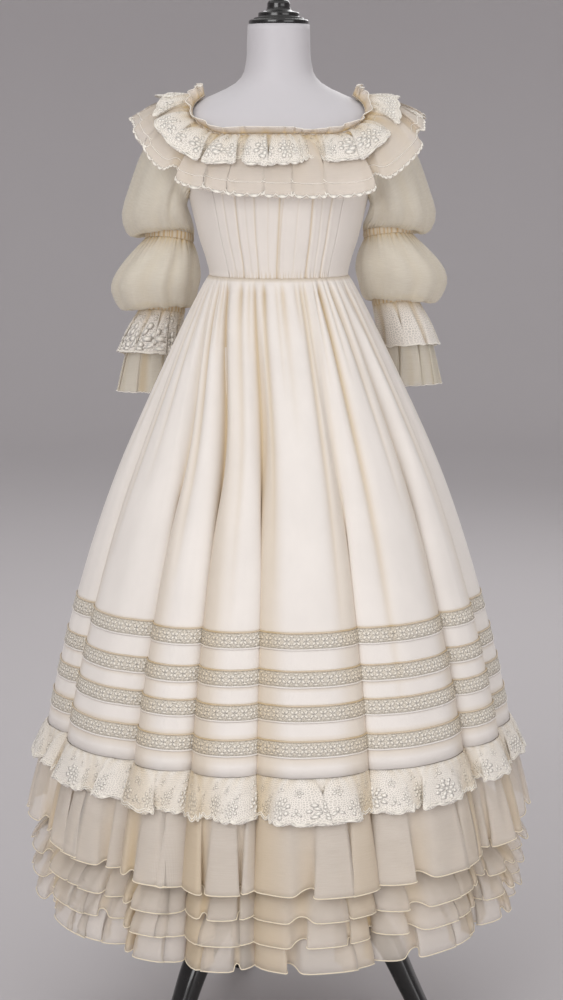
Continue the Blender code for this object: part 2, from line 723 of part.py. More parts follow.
def flounce_ring(row, inset):
    angles, troughs = fold_columns(FOLD_PHASES)
    fold = smooth_column(SKIRT, "fold", row.height)
    waves = np.tile(FLOUNCE_PHASES, len(FOLDS))
    depth = row.folded * fold * troughs - row.offset - row.wave * waves
    return skirt_ring(angles, depth + inset, row.height)


def add_flounce(name, finish_name, rows, wall):
    outer = [flounce_ring(row, 0.0) for row in rows]
    inner = [flounce_ring(row, wall) for row in rows]
    add_wall(name, finish_name, outer, inner)


def underskirt_inset(height):
    order = sorted(UNDERSKIRT, key=lambda row: row.height)
    return np.interp(height, [row.height for row in order], [row.inset for row in order])


def add_underskirt():
    """The upper and the lower ring of the underskirt, which meet at the seam row."""
    angles = np.linspace(0.0, 360.0, UNDERSKIRT_COLUMNS, endpoint=False)
    seam = UNDERSKIRT[UNDERSKIRT_SEAM_ROW]
    above = seam._replace(height=seam.height + SEAM_GAP / 2)
    below = seam._replace(height=seam.height - SEAM_GAP / 2)
    upper = UNDERSKIRT[:UNDERSKIRT_SEAM_ROW] + (above,)
    lower = (below,) + UNDERSKIRT[UNDERSKIRT_SEAM_ROW + 1 :]
    for name, rows in (("underskirt_upper", upper), ("underskirt_lower", lower)):
        outer = [skirt_ring(angles, row.inset, row.height) for row in rows]
        inner = [skirt_ring(angles, row.inset + SHEER_WALL, row.height) for row in rows]
        add_wall(name, "cotton", outer, inner)


def add_flounces():
    add_flounce("hem_lace_flounce", "lace", LACE_FLOUNCE, WALL)
    add_flounce("hem_sheer_flounce", "organza", SHEER_FLOUNCE, SHEER_WALL)
    for number, tier in enumerate(UNDER_TIERS, start=1):
        seat = underskirt_inset(tier.top) - UNDER_TIER_SEAT - SHEER_WALL
        rows = (
            FlounceRow(tier.top, -seat, 0.0, 0.0),
            FlounceRow(tier.bottom, tier.offset, 0.0, 1.0),
        )
        add_flounce(f"under_tier_{number}", "organza", rows, SHEER_WALL)


def centre_on_floor():
    """Moves the whole object so that the middle of its outline stands over the origin."""
    solids = list(bpy.context.scene.collection.objects)
    corners = np.array([corner[:] for solid in solids for corner in solid.bound_box])
    middle = (corners.min(axis=0) + corners.max(axis=0)) / 2
    for solid in solids:
        solid.location = (-middle[0], -middle[1], 0.0)


def main():
    clear_scene()
    add_form()
    add_stand()
    add_bodice()
    add_casing()
    add_frill()
    add_collar_tier("collar_lace_tier", "lace", LACE_TIER)
    add_collar_tier("collar_sheer_tier", "organza", SHEER_TIER)
    add_sleeves()
    add_skirt()
    add_insertion_bands()
    add_flounces()
    add_underskirt()
    centre_on_floor()


main()
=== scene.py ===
"""The finished surfaces of a tiered long dress on a limbless dress form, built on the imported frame.

Metres, +Z up, floor at 0. The front faces -Y, and the wearer's left side is at +X.
Angles are in degrees round the body: 0 at the front, 90 at the wearer's left, 180 at the back.
Cloth grids run down in rows and round in columns with the angle, so their normals point outwards.
Only the columns of the left sleeve run against the angle, and its grid normals point inwards.
A cloth map's u runs along the gathered edge of the flat cut and v runs down it, both in metres.
"""

import math
from collections import namedtuple

import bpy
import numpy as np
from bpy.props import FloatProperty, FloatVectorProperty, IntProperty, PointerProperty
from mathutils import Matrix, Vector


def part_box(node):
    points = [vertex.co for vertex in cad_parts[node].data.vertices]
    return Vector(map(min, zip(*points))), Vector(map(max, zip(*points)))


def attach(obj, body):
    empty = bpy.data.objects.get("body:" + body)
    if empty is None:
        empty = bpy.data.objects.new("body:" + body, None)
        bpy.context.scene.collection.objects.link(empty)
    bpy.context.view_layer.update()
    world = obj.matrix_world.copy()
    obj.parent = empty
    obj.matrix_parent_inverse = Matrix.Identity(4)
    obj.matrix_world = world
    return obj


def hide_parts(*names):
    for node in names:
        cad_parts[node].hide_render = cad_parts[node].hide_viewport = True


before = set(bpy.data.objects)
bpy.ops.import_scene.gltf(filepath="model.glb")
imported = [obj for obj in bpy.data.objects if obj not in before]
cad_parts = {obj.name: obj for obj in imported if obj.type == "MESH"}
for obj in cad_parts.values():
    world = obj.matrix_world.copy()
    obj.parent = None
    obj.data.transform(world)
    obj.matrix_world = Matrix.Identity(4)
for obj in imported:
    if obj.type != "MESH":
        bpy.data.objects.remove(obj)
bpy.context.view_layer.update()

bl_info = {
    "name": "Tiered dress on a dress form",
    "version": (1, 0, 0),
    "blender": (4, 5, 0),
    "location": "View3D > Sidebar > Dress",
    "description": "Builds a tiered long dress, its dress form and its stand",
    "category": "Add Mesh",
}

MM = 0.001

# Places read from the frame
SEAM_GAP = 0.0003
POLE_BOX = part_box("stand_pole")
AXIS = np.array([(POLE_BOX[0][0] + POLE_BOX[1][0]) / 2, (POLE_BOX[0][1] + POLE_BOX[1][1]) / 2, 0.0])
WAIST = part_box("skirt_front")[1][2] + SEAM_GAP
UP = np.array([0.0, 0.0, 1.0])

# The dress form, with heights above the waist seam
FormRow = namedtuple("FormRow", "height half_width half_depth shift")
FORM = (
    FormRow(-0.230, 0.138, 0.108, 0.000),
    FormRow(-0.170, 0.136, 0.107, 0.000),
    FormRow(-0.110, 0.128, 0.102, 0.000),
    FormRow(-0.055, 0.112, 0.090, 0.000),
    FormRow(-0.025, 0.103, 0.083, 0.000),
    FormRow(0.000, 0.0985, 0.080, 0.000),
    FormRow(0.025, 0.1035, 0.084, -0.002),
    FormRow(0.055, 0.1130, 0.090, -0.004),
    FormRow(0.085, 0.1205, 0.0965, -0.005),
    FormRow(0.110, 0.1265, 0.101, -0.006),
    FormRow(0.150, 0.138, 0.103, -0.004),
    FormRow(0.190, 0.150, 0.095, -0.002),
    FormRow(0.215, 0.155, 0.083, 0.002),
    FormRow(0.235, 0.149, 0.073, 0.006),
    FormRow(0.2525, 0.124, 0.063, 0.010),
    FormRow(0.266, 0.093, 0.056, 0.012),
    FormRow(0.278, 0.068, 0.052, 0.013),
    FormRow(0.290, 0.055, 0.050, 0.014),
    FormRow(0.310, 0.0485, 0.0475, 0.014),
    FormRow(0.340, 0.0465, 0.0465, 0.013),
    FormRow(0.365, 0.0455, 0.0460, 0.012),
)
FORM_COLUMNS = 92
FORM_ROWS = 72

# Turned profiles, with heights from each piece's own base
TurnRow = namedtuple("TurnRow", "height radius")
CAP = (
    TurnRow(0.0000, 0.0432),
    TurnRow(0.0012, 0.0440),
    TurnRow(0.0050, 0.0440),
    TurnRow(0.0064, 0.0425),
    TurnRow(0.0072, 0.0372),
    TurnRow(0.0094, 0.0366),
    TurnRow(0.0104, 0.0308),
    TurnRow(0.0120, 0.0302),
    TurnRow(0.0158, 0.0302),
    TurnRow(0.0172, 0.0290),
    TurnRow(0.0190, 0.0200),
    TurnRow(0.0210, 0.0180),
    TurnRow(0.0250, 0.0170),
    TurnRow(0.0300, 0.0168),
    TurnRow(0.0335, 0.0150),
    TurnRow(0.0360, 0.0100),
    TurnRow(0.0395, 0.0090),
    TurnRow(0.0430, 0.0098),
    TurnRow(0.0500, 0.0152),
    TurnRow(0.0560, 0.0172),
    TurnRow(0.0620, 0.0168),
    TurnRow(0.0680, 0.0142),
    TurnRow(0.0725, 0.0098),
    TurnRow(0.0750, 0.0020),
)
HUB = (
    TurnRow(0.0000, 0.0100),
    TurnRow(0.0030, 0.0150),
    TurnRow(0.0100, 0.0240),
    TurnRow(0.0170, 0.0310),
    TurnRow(0.0220, 0.0320),
    TurnRow(0.0600, 0.0320),
    TurnRow(0.0640, 0.0310),
    TurnRow(0.0700, 0.0245),
    TurnRow(0.0760, 0.0215),
    TurnRow(0.0800, 0.0200),
)
TURN_COLUMNS = 48
CAP_ROWS = 70
HUB_ROWS = 40
POLE_ROWS = 12
LegRow = namedtuple("LegRow", "reach height width depth lean")
LEG = (
    LegRow(0.0323, 0.247, 0.036, 0.036, 0),
    LegRow(0.0650, 0.245, 0.040, 0.040, 10),
    LegRow(0.1050, 0.232, 0.044, 0.042, 30),
    LegRow(0.1450, 0.200, 0.043, 0.040, 50),
    LegRow(0.1800, 0.152, 0.040, 0.036, 62),
    LegRow(0.2080, 0.096, 0.036, 0.032, 68),
    LegRow(0.2340, 0.042, 0.034, 0.032, 75),
    LegRow(0.2500, 0.000, 0.040, 0.050, 90),
)
LEG_ANGLES = (-45.0, 75.0, 195.0)
LEG_COLUMNS = 32
LEG_ROWS = 56
LEG_SQUARENESS = 0.7

# Neckline, armhole and bodice
NECK_FRONT = 0.195
NECK_SIDE = 0.2490
NECK_BACK = 0.205
NECK_RISE_START = 28.0
NECK_RISE_END = 80.0
UNDERARM = 0.115
ARMHOLE_HALF = 38.57
PANEL_EDGE = 45.0
PANEL_SEAM = 0.10
BODICE_WALL = 0.0012
BODICE_OUTER = 0.0048
ARMHOLE_LIFT = 0.0055
SHEER_WALL = 0.0006
LACE_WALL = 0.0005
COTTON_WALL = 0.0008
SMALL_TURN = 0.5
SMALL_RISE = 0.001
CORD_SIDES = 4
PETAL_SIDES = 6

# Pleats of the bodice front, as valleys that lean from one angle to another: sizes in millimetres
Pleat = namedtuple("Pleat", "top_angle waist_angle depth half_width")
PLEATS = (
    Pleat(-38.0, -37.0, 0.9, 1.4),
    Pleat(-27.0, -30.0, 1.9, 1.8),
    Pleat(-20.5, -23.0, 0.5, 1.4),
    Pleat(-14.0, -17.0, 1.5, 1.6),
    Pleat(-6.0, -8.0, 0.6, 1.5),
    Pleat(1.5, -1.2, 2.4, 1.9),
    Pleat(5.5, -0.4, 1.3, 1.5),
    Pleat(13.0, 12.0, 0.6, 1.4),
    Pleat(21.0, 23.0, 2.4, 1.9),
    Pleat(29.0, 29.5, 0.6, 1.4),
    Pleat(36.5, 36.0, 1.6, 1.8),
)
SHIRRING_WAVES = 36
SHIRRING_HEIGHT = 0.016
SHIRRING_DEPTH = 0.0014
BODICE_FLARE = 0.0004

# Collar
CASING_GAP = 0.0015
CASING_HEIGHT = 0.009
CASING_RIDGES = 120
FRILL_HEIGHT = 0.017
FRILL_WAVES = 46
Tier = namedtuple("Tier", "start lift front_out front_drop side_out side_drop")
LACE_TIER = Tier(0.0088, 0.0020, 0.042, 0.047, 0.064, 0.008)
SHEER_TIER = Tier(0.0046, 0.0022, 0.042, 0.090, 0.094, 0.034)
TIER_REACH = 0.8
TIER_FALL = 1.6
TIER_SIDE_SHARPNESS = 2.5
COLLAR_GATHERS = 96
COLLAR_OVERLAP = 0.24
COLLAR_TUCK_RISE = 0.015
COLLAR_TUCK_POINTS = 400

# Sleeves: each ring runs from its outer point to its inner point, heights above the waist seam
SIDE_DROP = 0.006
PUFF_GATHERS = 38
PUFF_FOLDS = 9
BAND_RIDGES = 38
CUFF_GATHERS = 30
CUFF_LACE_WAVES = 9
CUFF_SHEER_WAVES = 8
Ring = namedtuple("Ring", "outer_x outer_z inner_x inner_z y half_deep front_lift")
SLEEVE_UPPER = (
    Ring(0.166, 0.236, 0.1370, 0.104, 0.004, 0.062, 0.000),
    Ring(0.199, 0.185, 0.1350, 0.095, 0.009, 0.071, 0.000),
    Ring(0.221, 0.130, 0.1325, 0.087, 0.015, 0.073, 0.000),
    Ring(0.234, 0.087, 0.1300, 0.079, 0.021, 0.066, 0.003),
    Ring(0.223, 0.058, 0.1275, 0.071, 0.027, 0.053, 0.005),
    Ring(0.2005, 0.066, 0.1275, 0.060, 0.031, 0.038, 0.008),
)
BAND_UPPER = (
    Ring(0.2005, 0.066, 0.1275, 0.060, 0.031, 0.038, 0.008),
    Ring(0.2015, 0.055, 0.1285, 0.049, 0.033, 0.038, 0.008),
)
SLEEVE_LOWER = (
    Ring(0.2015, 0.055, 0.1285, 0.049, 0.033, 0.038, 0.008),
    Ring(0.228, 0.028, 0.1220, 0.027, 0.040, 0.052, 0.004),
    Ring(0.249, 0.000, 0.1190, 0.003, 0.049, 0.062, 0.002),
    Ring(0.254, -0.024, 0.1230, -0.017, 0.058, 0.062, 0.002),
    Ring(0.240, -0.053, 0.1310, -0.045, 0.072, 0.055, 0.004),
    Ring(0.2165, -0.046, 0.1440, -0.050, 0.079, 0.037, 0.008),
)
BAND_LOWER = (
    Ring(0.2165, -0.046, 0.1440, -0.050, 0.079, 0.037, 0.008),
    Ring(0.2175, -0.056, 0.1450, -0.060, 0.083, 0.037, 0.008),
)
CUFF_LACE = (
    Ring(0.2175, -0.056, 0.1450, -0.060, 0.083, 0.037, 0.008),
    Ring(0.2360, -0.090, 0.1520, -0.092, 0.101, 0.045, 0.008),
    Ring(0.2490, -0.123, 0.1580, -0.127, 0.113, 0.050, 0.007),
)
CUFF_SHEER = (
    Ring(0.2172, -0.060, 0.1480, -0.064, 0.085, 0.0355, 0.008),
    Ring(0.2260, -0.092, 0.1610, -0.094, 0.101, 0.035, 0.008),
    Ring(0.2390, -0.127, 0.1660, -0.131, 0.116, 0.040, 0.007),
    Ring(0.2540, -0.187, 0.1640, -0.191, 0.143, 0.047, 0.005),
)

# Skirt outline: crest of the folds and the depth of their troughs, heights above the floor
SkirtRow = namedtuple("SkirtRow", "height half_width half_depth fold")
SKIRT = (
    SkirtRow(1.1957, 0.1060, 0.0875, 0.0000),
    SkirtRow(1.1590, 0.1265, 0.1100, 0.0030),
    SkirtRow(1.0990, 0.1570, 0.1410, 0.0080),
    SkirtRow(1.0300, 0.1900, 0.1730, 0.0140),
    SkirtRow(0.9000, 0.2480, 0.2280, 0.0240),
    SkirtRow(0.7200, 0.3080, 0.2880, 0.0330),
    SkirtRow(0.5210, 0.3570, 0.3360, 0.0383),
    SkirtRow(0.3920, 0.3790, 0.3580, 0.0400),
    SkirtRow(0.2400, 0.3860, 0.3660, 0.0400),
)
SKIRT_TOP = 1.1957
SKIRT_BOTTOM = 0.5210
# Between the waist and this height the troughs drift from their waist angles to their own
DRIFT_BOTTOM = 0.9
# The folds start to lean over their troughs at the first height and lean fully at the second
LEAN_START = 1.02
LEAN_FULL = 0.76

# Troughs between the large folds. waist_angle is where the trough starts at the waist, width is half
# of its own width in degrees, lean is how far its edges close over it, and peak is where it is
# deepest: above 0 the cloth on its right-hand side of the picture lies under, below 0 over.
Trough = namedtuple("Trough", "angle waist_angle depth width lean peak")
TROUGHS = (
    Trough(-92.0, -92.0, 0.70, 5.5, 0.30, 0.00),
    Trough(-69.0, -79.0, 0.90, 5.0, 0.58, 0.35),
    Trough(-38.5, -61.0, 1.00, 4.8, 0.62, 0.35),
    Trough(-22.0, -46.0, 1.15, 4.6, 0.60, 0.20),
    Trough(-6.4, -20.0, 1.15, 4.4, 0.74, 0.35),
    Trough(23.0, 26.0, 0.80, 4.8, 0.50, -0.30),
    Trough(54.7, 52.0, 1.00, 5.2, 0.62, -0.35),
    Trough(73.0, 72.0, 0.90, 5.2, 0.55, -0.35),
    Trough(97.0, 97.0, 0.70, 5.5, 0.30, 0.00),
    Trough(125.0, 130.0, 1.00, 5.2, 0.62, 0.35),
    Trough(152.0, 155.0, 0.90, 4.8, 0.55, -0.30),
    Trough(180.0, 180.0, 1.10, 4.8, 0.40, 0.00),
    Trough(208.0, 205.0, 0.90, 5.0, 0.62, 0.35),
    Trough(237.0, 230.0, 1.00, 5.2, 0.55, -0.35),
)
FRONT_FOLDS = 8
NARROW_SHARE = 0.6

# Long creases that run down from the waist: place is the column's angle low on the skirt
Crease = namedtuple("Crease", "place depth length half_width")
CREASES = (
    Crease(-84.0, 0.0050, 0.40, 0.0050),
    Crease(-76.0, 0.0045, 0.30, 0.0045),
    Crease(-60.0, 0.0050, 0.42, 0.0060),
    Crease(-51.0, 0.0045, 0.30, 0.0050),
    Crease(-31.0, 0.0070, 0.42, 0.0050),
    Crease(-22.0, 0.0080, 0.50, 0.0045),
    Crease(-13.0, 0.0050, 0.50, 0.0070),
    Crease(-6.4, 0.0070, 0.50, 0.0045),
    Crease(-1.5, 0.0065, 0.44, 0.0050),
    Crease(8.0, 0.0035, 0.22, 0.0060),
    Crease(17.0, 0.0060, 0.50, 0.0050),
    Crease(31.5, 0.0100, 0.60, 0.0080),
    Crease(44.0, 0.0060, 0.34, 0.0060),
    Crease(64.0, 0.0050, 0.40, 0.0060),
    Crease(84.0, 0.0045, 0.32, 0.0050),
    Crease(108.0, 0.0050, 0.44, 0.0060),
    Crease(117.0, 0.0045, 0.30, 0.0050),
    Crease(139.0, 0.0070, 0.46, 0.0060),
    Crease(166.0, 0.0055, 0.40, 0.0060),
    Crease(190.0, 0.0060, 0.46, 0.0060),
    Crease(199.0, 0.0045, 0.30, 0.0050),
    Crease(220.0, 0.0065, 0.50, 0.0070),
    Crease(251.0, 0.0055, 0.42, 0.0060),
)
SMALL_GATHERS = 66

# Lace bands and flounces
HEM_CORD_RADIUS = 1.0 * MM
HEM_GATHERS = 150
WAVE_OVERLAP = 0.21
BAND_CENTRES = (0.706, 0.655, 0.608, 0.560)
BAND_HEIGHT = 0.0195
BAND_LIFT = 0.0009
TUCK_HEIGHT = 0.0026
TUCK_LIFT = 0.0011
LACE_FLOUNCE_TOP = 0.5207
LACE_FLOUNCE_BOTTOM = 0.462
SHEER_FLOUNCE_TOP = 0.530
SHEER_FLOUNCE_BOTTOM = 0.360
UnderTier = namedtuple("UnderTier", "top bottom offset")
UNDER_TIERS = (
    UnderTier(0.400, 0.3205, -0.0020),
    UnderTier(0.368, 0.2830, -0.0055),
    UnderTier(0.345, 0.2450, -0.0090),
)
UNDER_TIER_SEAT = 0.0010
UNDER_TIER_WALL = 0.0015
UnderskirtRow = namedtuple("UnderskirtRow", "height inset")
UNDERSKIRT = (
    UnderskirtRow(1.099, 0.0145),
    UnderskirtRow(0.900, 0.0340),
    UnderskirtRow(0.720, 0.0460),
    UnderskirtRow(0.400, 0.0660),
    UnderskirtRow(0.335, 0.0700),
)

# The lace of each flounce: length of a repeat, width of a scallop and depth of its notches
Lace = namedtuple("Lace", "repeat scallop notch")
COLLAR_LACE = Lace(62 * MM, 18 * MM, 3.0 * MM)
WRIST_LACE = Lace(58 * MM, 14 * MM, 2.6 * MM)
HEM_LACE = Lace(82 * MM, 22 * MM, 4.5 * MM)
INSERTION_REPEAT = 13.5 * MM

# Columns and rows of the cloth grids
Count = namedtuple("Count", "columns rows")
FRONT_COUNT = Count(176, 44)
PANEL_COUNT = Count(44, 30)
CASING_COUNT = Count(720, 6)
FRILL_COUNT = Count(640, 7)
LACE_TIER_COUNT = Count(600, 13)
SHEER_TIER_COUNT = Count(640, 14)
PUFF_COUNT = Count(200, 24)
SLEEVE_BAND_COUNT = Count(200, 6)
CUFF_LACE_COUNT = Count(200, 12)
CUFF_SHEER_COUNT = Count(200, 16)
HEM_LACE_COUNT = Count(820, 11)
HEM_SHEER_COUNT = Count(800, 19)
UNDER_TIER_COUNT = Count(640, 10)
UNDERSKIRT_COUNT = Count(96, 14)
SKIRT_ROWS = 56
INSERTION_COLUMNS = 900

# Columns round the skirt: their number in half a trough and for each degree between troughs
Density = namedtuple("Density", "per_half_trough per_degree")
SKIRT_DENSITY = Density(11, 1.7)
READING_DENSITY = Density(16, 1.0)

# The camera: its place, its tilt below level and its lens
CAMERA_PLACE = (0.005, -3.0, 1.41)
CAMERA_TILT = 10.5
CAMERA_LENS = 72.0
CAMERA_SENSOR = 36.0

# Square area lights: size in metres and power in watts
Lamp = namedtuple("Lamp", "name place target size power")
LAMPS = (
    Lamp("key", (-1.7, -3.6, 2.4), (0.0, 0.0, 0.9), 2.4, 78.0),
    Lamp("fill", (2.5, -3.0, 1.4), (0.0, 0.0, 0.7), 2.6, 40.0),
    Lamp("back", (0.8, 3.2, 3.0), (0.0, 0.0, 1.0), 2.2, 34.0),
)
STUDIO_LIGHT = (0.83, 0.82, 0.815, 1.0)
STUDIO_STRENGTH = 0.95

# The floor and its upsweep
FLOOR_RADIUS = 6.0
FLOOR_BEND = 2.0
WALL_HEIGHT = 4.0
FLOOR_COLUMNS = 96


def linear(code):
    """An sRGB hex colour as linear red, green and blue."""
    values = [int(code[i : i + 2], 16) / 255 for i in (0, 2, 4)]
    return tuple(v / 12.92 if v <= 0.04045 else ((v + 0.055) / 1.055) ** 2.4 for v in values)


def hue(code, name, description):
    """A colour property whose default is an sRGB hex value."""
    return FloatVectorProperty(
        name=name,
        description=description,
        subtype="COLOR",
        size=3,
        min=0.0,
        max=1.0,
        default=linear(code),
    )


class DressColours(bpy.types.PropertyGroup):
    """Base colours of the finishes, and the colours of their painted shade."""

    cotton: hue("E7E1DB", "Cotton", "Lawn of the bodice and skirt")
    # Painted shade: the lawn goes over to this colour in its creases, troughs and pleats, behind the
    # lace bands and wherever it lies in shade.
    cotton_fold_shade: hue("C4AC82", "Cotton in folds", "Lawn where it shades itself")
    organza: hue("EEE4D8", "Organza", "Sheer cloth of the flounces and tiers")
    # Painted shade: the sheer cloth, the lace net and its thread go over to this colour in their folds
    # and gathers.
    organza_fold_shade: hue("CFB27A", "Organza in folds", "Sheer cloth where its layers gather")
    organza_hem: hue("EDE1C9", "Rolled hems", "Narrow rolled edges of the sheer cloth")
    sleeve: hue("F1EADA", "Sleeve organza", "Sheer cloth of the sleeves")
    net: hue("F3EDE4", "Net", "Net that the lace is worked on")
    insertion: hue("E2DACC", "Insertion net", "Net of the bands let into the skirt")
    thread: hue("F6F1E7", "Lace thread", "Embroidery thread")
    # Painted shade: the sleeve bands go over to this gold in the valleys between their gathered ridges.
    elastic: hue("BC9550", "Gathered bands", "Cloth over the elastic of the sleeves")
    form: hue("C8C5C8", "Dress form", "Cover of the form")
    lacquer: hue("0B0A09", "Lacquer", "Black lacquered wood")
    floor: hue("C0BCBE", "Floor", "Stage floor and its upsweep")


class DressSizes(bpy.types.PropertyGroup):
    """Sizes of the gathers that may be changed."""

    collar_waves: IntProperty(
        name="Collar waves", description="Ruffle waves round the collar", default=19, min=8, max=60
    )
    collar_depth: FloatProperty(
        name="Collar wave depth",
        description="Half depth of the collar's waves at their edge",
        default=8.0 * MM,
        min=0.0,
        unit="LENGTH",
    )
    lace_waves: IntProperty(
        name="Lace flounce waves", description="Waves round the hem lace", default=33, min=8, max=80
    )
    lace_depth: FloatProperty(
        name="Lace flounce wave depth",
        description="Half depth of the hem lace's waves at their edge",
        default=5.5 * MM,
        min=0.0,
        unit="LENGTH",
    )
    sheer_waves: IntProperty(
        name="Sheer waves",
        description="Waves round the sheer flounce and the tiers",
        default=44,
        min=8,
        max=90,
    )
    sheer_depth: FloatProperty(
        name="Sheer wave depth",
        description="Half depth of the sheer flounce's waves at its hem",
        default=9.0 * MM,
        min=0.0,
        unit="LENGTH",
    )


def settings():
    return bpy.context.scene.dress_sizes, bpy.context.scene.dress_colours


# Numbers along curves


def smooth_column(rows, column, heights):
    """A table column as a smooth curve of height: a cubic through the rows with their mean slopes."""
    order = sorted(rows, key=lambda row: row.height)
    known = np.array([row.height for row in order])
    values = np.array([getattr(row, column) for row in order])
    slopes = np.gradient(values, known)
    at = np.clip(heights, known[0], known[-1])
    first = np.clip(np.searchsorted(known, at) - 1, 0, len(known) - 2)
    span = known[first + 1] - known[first]
    t = (at - known[first]) / span
    start = (1 + 2 * t) * (1 - t) ** 2 * values[first] + t * (1 - t) ** 2 * span * slopes[first]
    end = t**2 * (3 - 2 * t) * values[first + 1] - t**2 * (1 - t) * span * slopes[first + 1]
    return start + end


def spline(values, places):
    """Rows read at fractional places: a cubic through them with central-difference slopes."""
    slopes = np.gradient(values, axis=0)
    first = np.clip(np.floor(places).astype(int), 0, len(values) - 2)
    t = (places - first).reshape((-1,) + (1,) * (values.ndim - 1))
    start = (1 + 2 * t) * (1 - t) ** 2 * values[first] + t * (1 - t) ** 2 * slopes[first]
    end = t**2 * (3 - 2 * t) * values[first + 1] - t**2 * (1 - t) * slopes[first + 1]
    return start + end


def ring_places(count, whole=1.0):
    """Even places from 0 up to the whole, which is left out: on a ring it is the first place again."""
    return np.linspace(0.0, whole, count, endpoint=False)


def crest(phase):
    """1 at each whole phase and 0 halfway between: 0.5 + 0.5 cos of the turn."""
    return 0.5 + 0.5 * np.cos(2 * math.pi * phase)


def ring_run(ring):
    """Length along a closed ring at each of its points, and the whole length at the end."""
    return np.concatenate([[0.0], np.cumsum(np.linalg.norm(np.roll(ring, -1, axis=0) - ring, axis=-1))])


def smoothstep(low, high, value):
    """0 below low, 1 above high, and the cubic 3t2 - 2t3 between them. low may be above high."""
    t = np.clip((np.asarray(value, float) - low) / (high - low), 0.0, 1.0)
    return t * t * (3 - 2 * t)


def unit(vectors):
    length = np.linalg.norm(vectors, axis=-1, keepdims=True)
    return vectors / np.maximum(length, 1e-9)


def wave_phases(share, waves, jitter, seed):
    """Phase in whole waves at each share of the way round, with waves of uneven width."""
    chance = np.random.default_rng(seed)
    widths = 1.0 + jitter * chance.uniform(-1.0, 1.0, waves)
    edges = np.concatenate([[0.0], np.cumsum(widths)]) / widths.sum()
    return np.interp(share, edges, np.arange(waves + 1))


def per_wave(phases, waves, low, high, seed):
    """A value of its own for each wave, blended between the middles of neighbours."""
    values = np.random.default_rng(seed).uniform(low, high, waves)
    middles = np.arange(-1, waves + 1) + 0.5
    return np.interp(phases, middles, values[np.arange(-1, waves + 1) % waves])


def swell(share, seed, parts=5):
    """A slow uneven curve round a ring, within -1 to 1: a sum of a few low waves."""
    chance = np.random.default_rng(seed)
    total = np.zeros_like(share)
    for number in range(1, parts + 1):
        total += chance.uniform(0.3, 1.0) * np.sin(2 * math.pi * (number * share + chance.uniform()))
    return total / parts


# Meshes from grids


# Each point of a part and of a cloth carries an amount of painted shade, which the materials read from
# the fold attribute.
Part = namedtuple("Part", "points faces uvs tint slot")
Cloth = namedtuple("Cloth", "grid normals width length tint")


def grid_normals(points, closed):
    """Unit normals of a grid: the cross product of the step down and the step along."""
    if closed:
        along = np.roll(points, -1, axis=1) - np.roll(points, 1, axis=1)
    else:
        along = np.gradient(points, axis=1)
    return unit(np.cross(np.gradient(points, axis=0), along))


def quad_corners(rows, columns, closed):
    """Corner rows and columns of a grid's quads. The columns of a closed grid run on past its seam."""
    row, column = np.meshgrid(np.arange(rows - 1), np.arange(columns - (not closed)), indexing="ij")
    corner_rows = np.stack([row, row + 1, row + 1, row], axis=-1).reshape(-1, 4)
    corner_columns = np.stack([column, column, column + 1, column + 1], axis=-1).reshape(-1, 4)
    return corner_rows, corner_columns


def volume(points, quads):
    """Signed volume of a closed shell of quads: a sixth of the sum of its triangles' triple products."""
    a, b, c, d = (points[quads[:, i]] for i in range(4))
    return (np.sum(np.cross(a, b) * c) + np.sum(np.cross(a, c) * d)) / 6


def shell(grid, wall, closed, flat, tint, slot=0):
    """A cloth wall: a grid, the same grid moved in along its normals, and the rims between them."""
    rows, columns = grid.shape[:2]
    inner = grid - grid_normals(grid, closed) * wall
    points = np.concatenate([grid.reshape(-1, 3), inner.reshape(-1, 3)])
    count = rows * columns
    u = np.linspace(0.0, flat[0], columns + closed)
    v = np.linspace(0.0, flat[1], rows)

    def numbers(corner_rows, corner_columns, inside):
        return corner_rows * columns + corner_columns % columns + inside * count

    def places(corner_rows, corner_columns):
        return np.stack([u[corner_columns], v[corner_rows]], axis=-1)

    corner_rows, corner_columns = quad_corners(rows, columns, closed)
    outer_quads, inner_quads = (numbers(corner_rows, corner_columns, inside) for inside in (0, 1))
    walls = np.concatenate([outer_quads, inner_quads[:, ::-1]])
    wall_uvs = places(corner_rows, corner_columns)
    wall_uvs = np.concatenate([wall_uvs, wall_uvs[:, ::-1]])
    rims = []
    rim_places = []
    left = np.arange(columns - (not closed))
    for row, turned in ((0, False), (rows - 1, True)):
        rim_columns = np.stack([left, left + 1, left + 1, left], axis=-1)
        rim_rows = np.full_like(rim_columns, row)
        rim = numbers(rim_rows, rim_columns, np.array([0, 0, 1, 1]))
        rims.append(rim[:, ::-1] if turned else rim)
        rim_uvs = places(rim_rows, rim_columns)
        rim_places.append(rim_uvs[:, ::-1] if turned else rim_uvs)
    if not closed:
        upper = np.arange(rows - 1)
        for column, turned in ((0, False), (columns - 1, True)):
            rim_rows = np.stack([upper, upper, upper + 1, upper + 1], axis=-1)
            rim_columns = np.full_like(rim_rows, column)
            rim = numbers(rim_rows, rim_columns, np.array([0, 1, 1, 0]))
            rims.append(rim[:, ::-1] if turned else rim)
            rim_uvs = places(rim_rows, rim_columns)
            rim_places.append(rim_uvs[:, ::-1] if turned else rim_uvs)
    rims = np.concatenate(rims)
    rim_places = np.concatenate(rim_places)
    if volume(points, np.concatenate([walls, rims])) < 0:
        walls, wall_uvs, rims, rim_places = (x[:, ::-1] for x in (walls, wall_uvs, rims, rim_places))
    shade = np.broadcast_to(tint, (rows, columns)).ravel()
    return Part(points, [walls, rims], [wall_uvs, rim_places], np.concatenate([shade, shade]), slot)


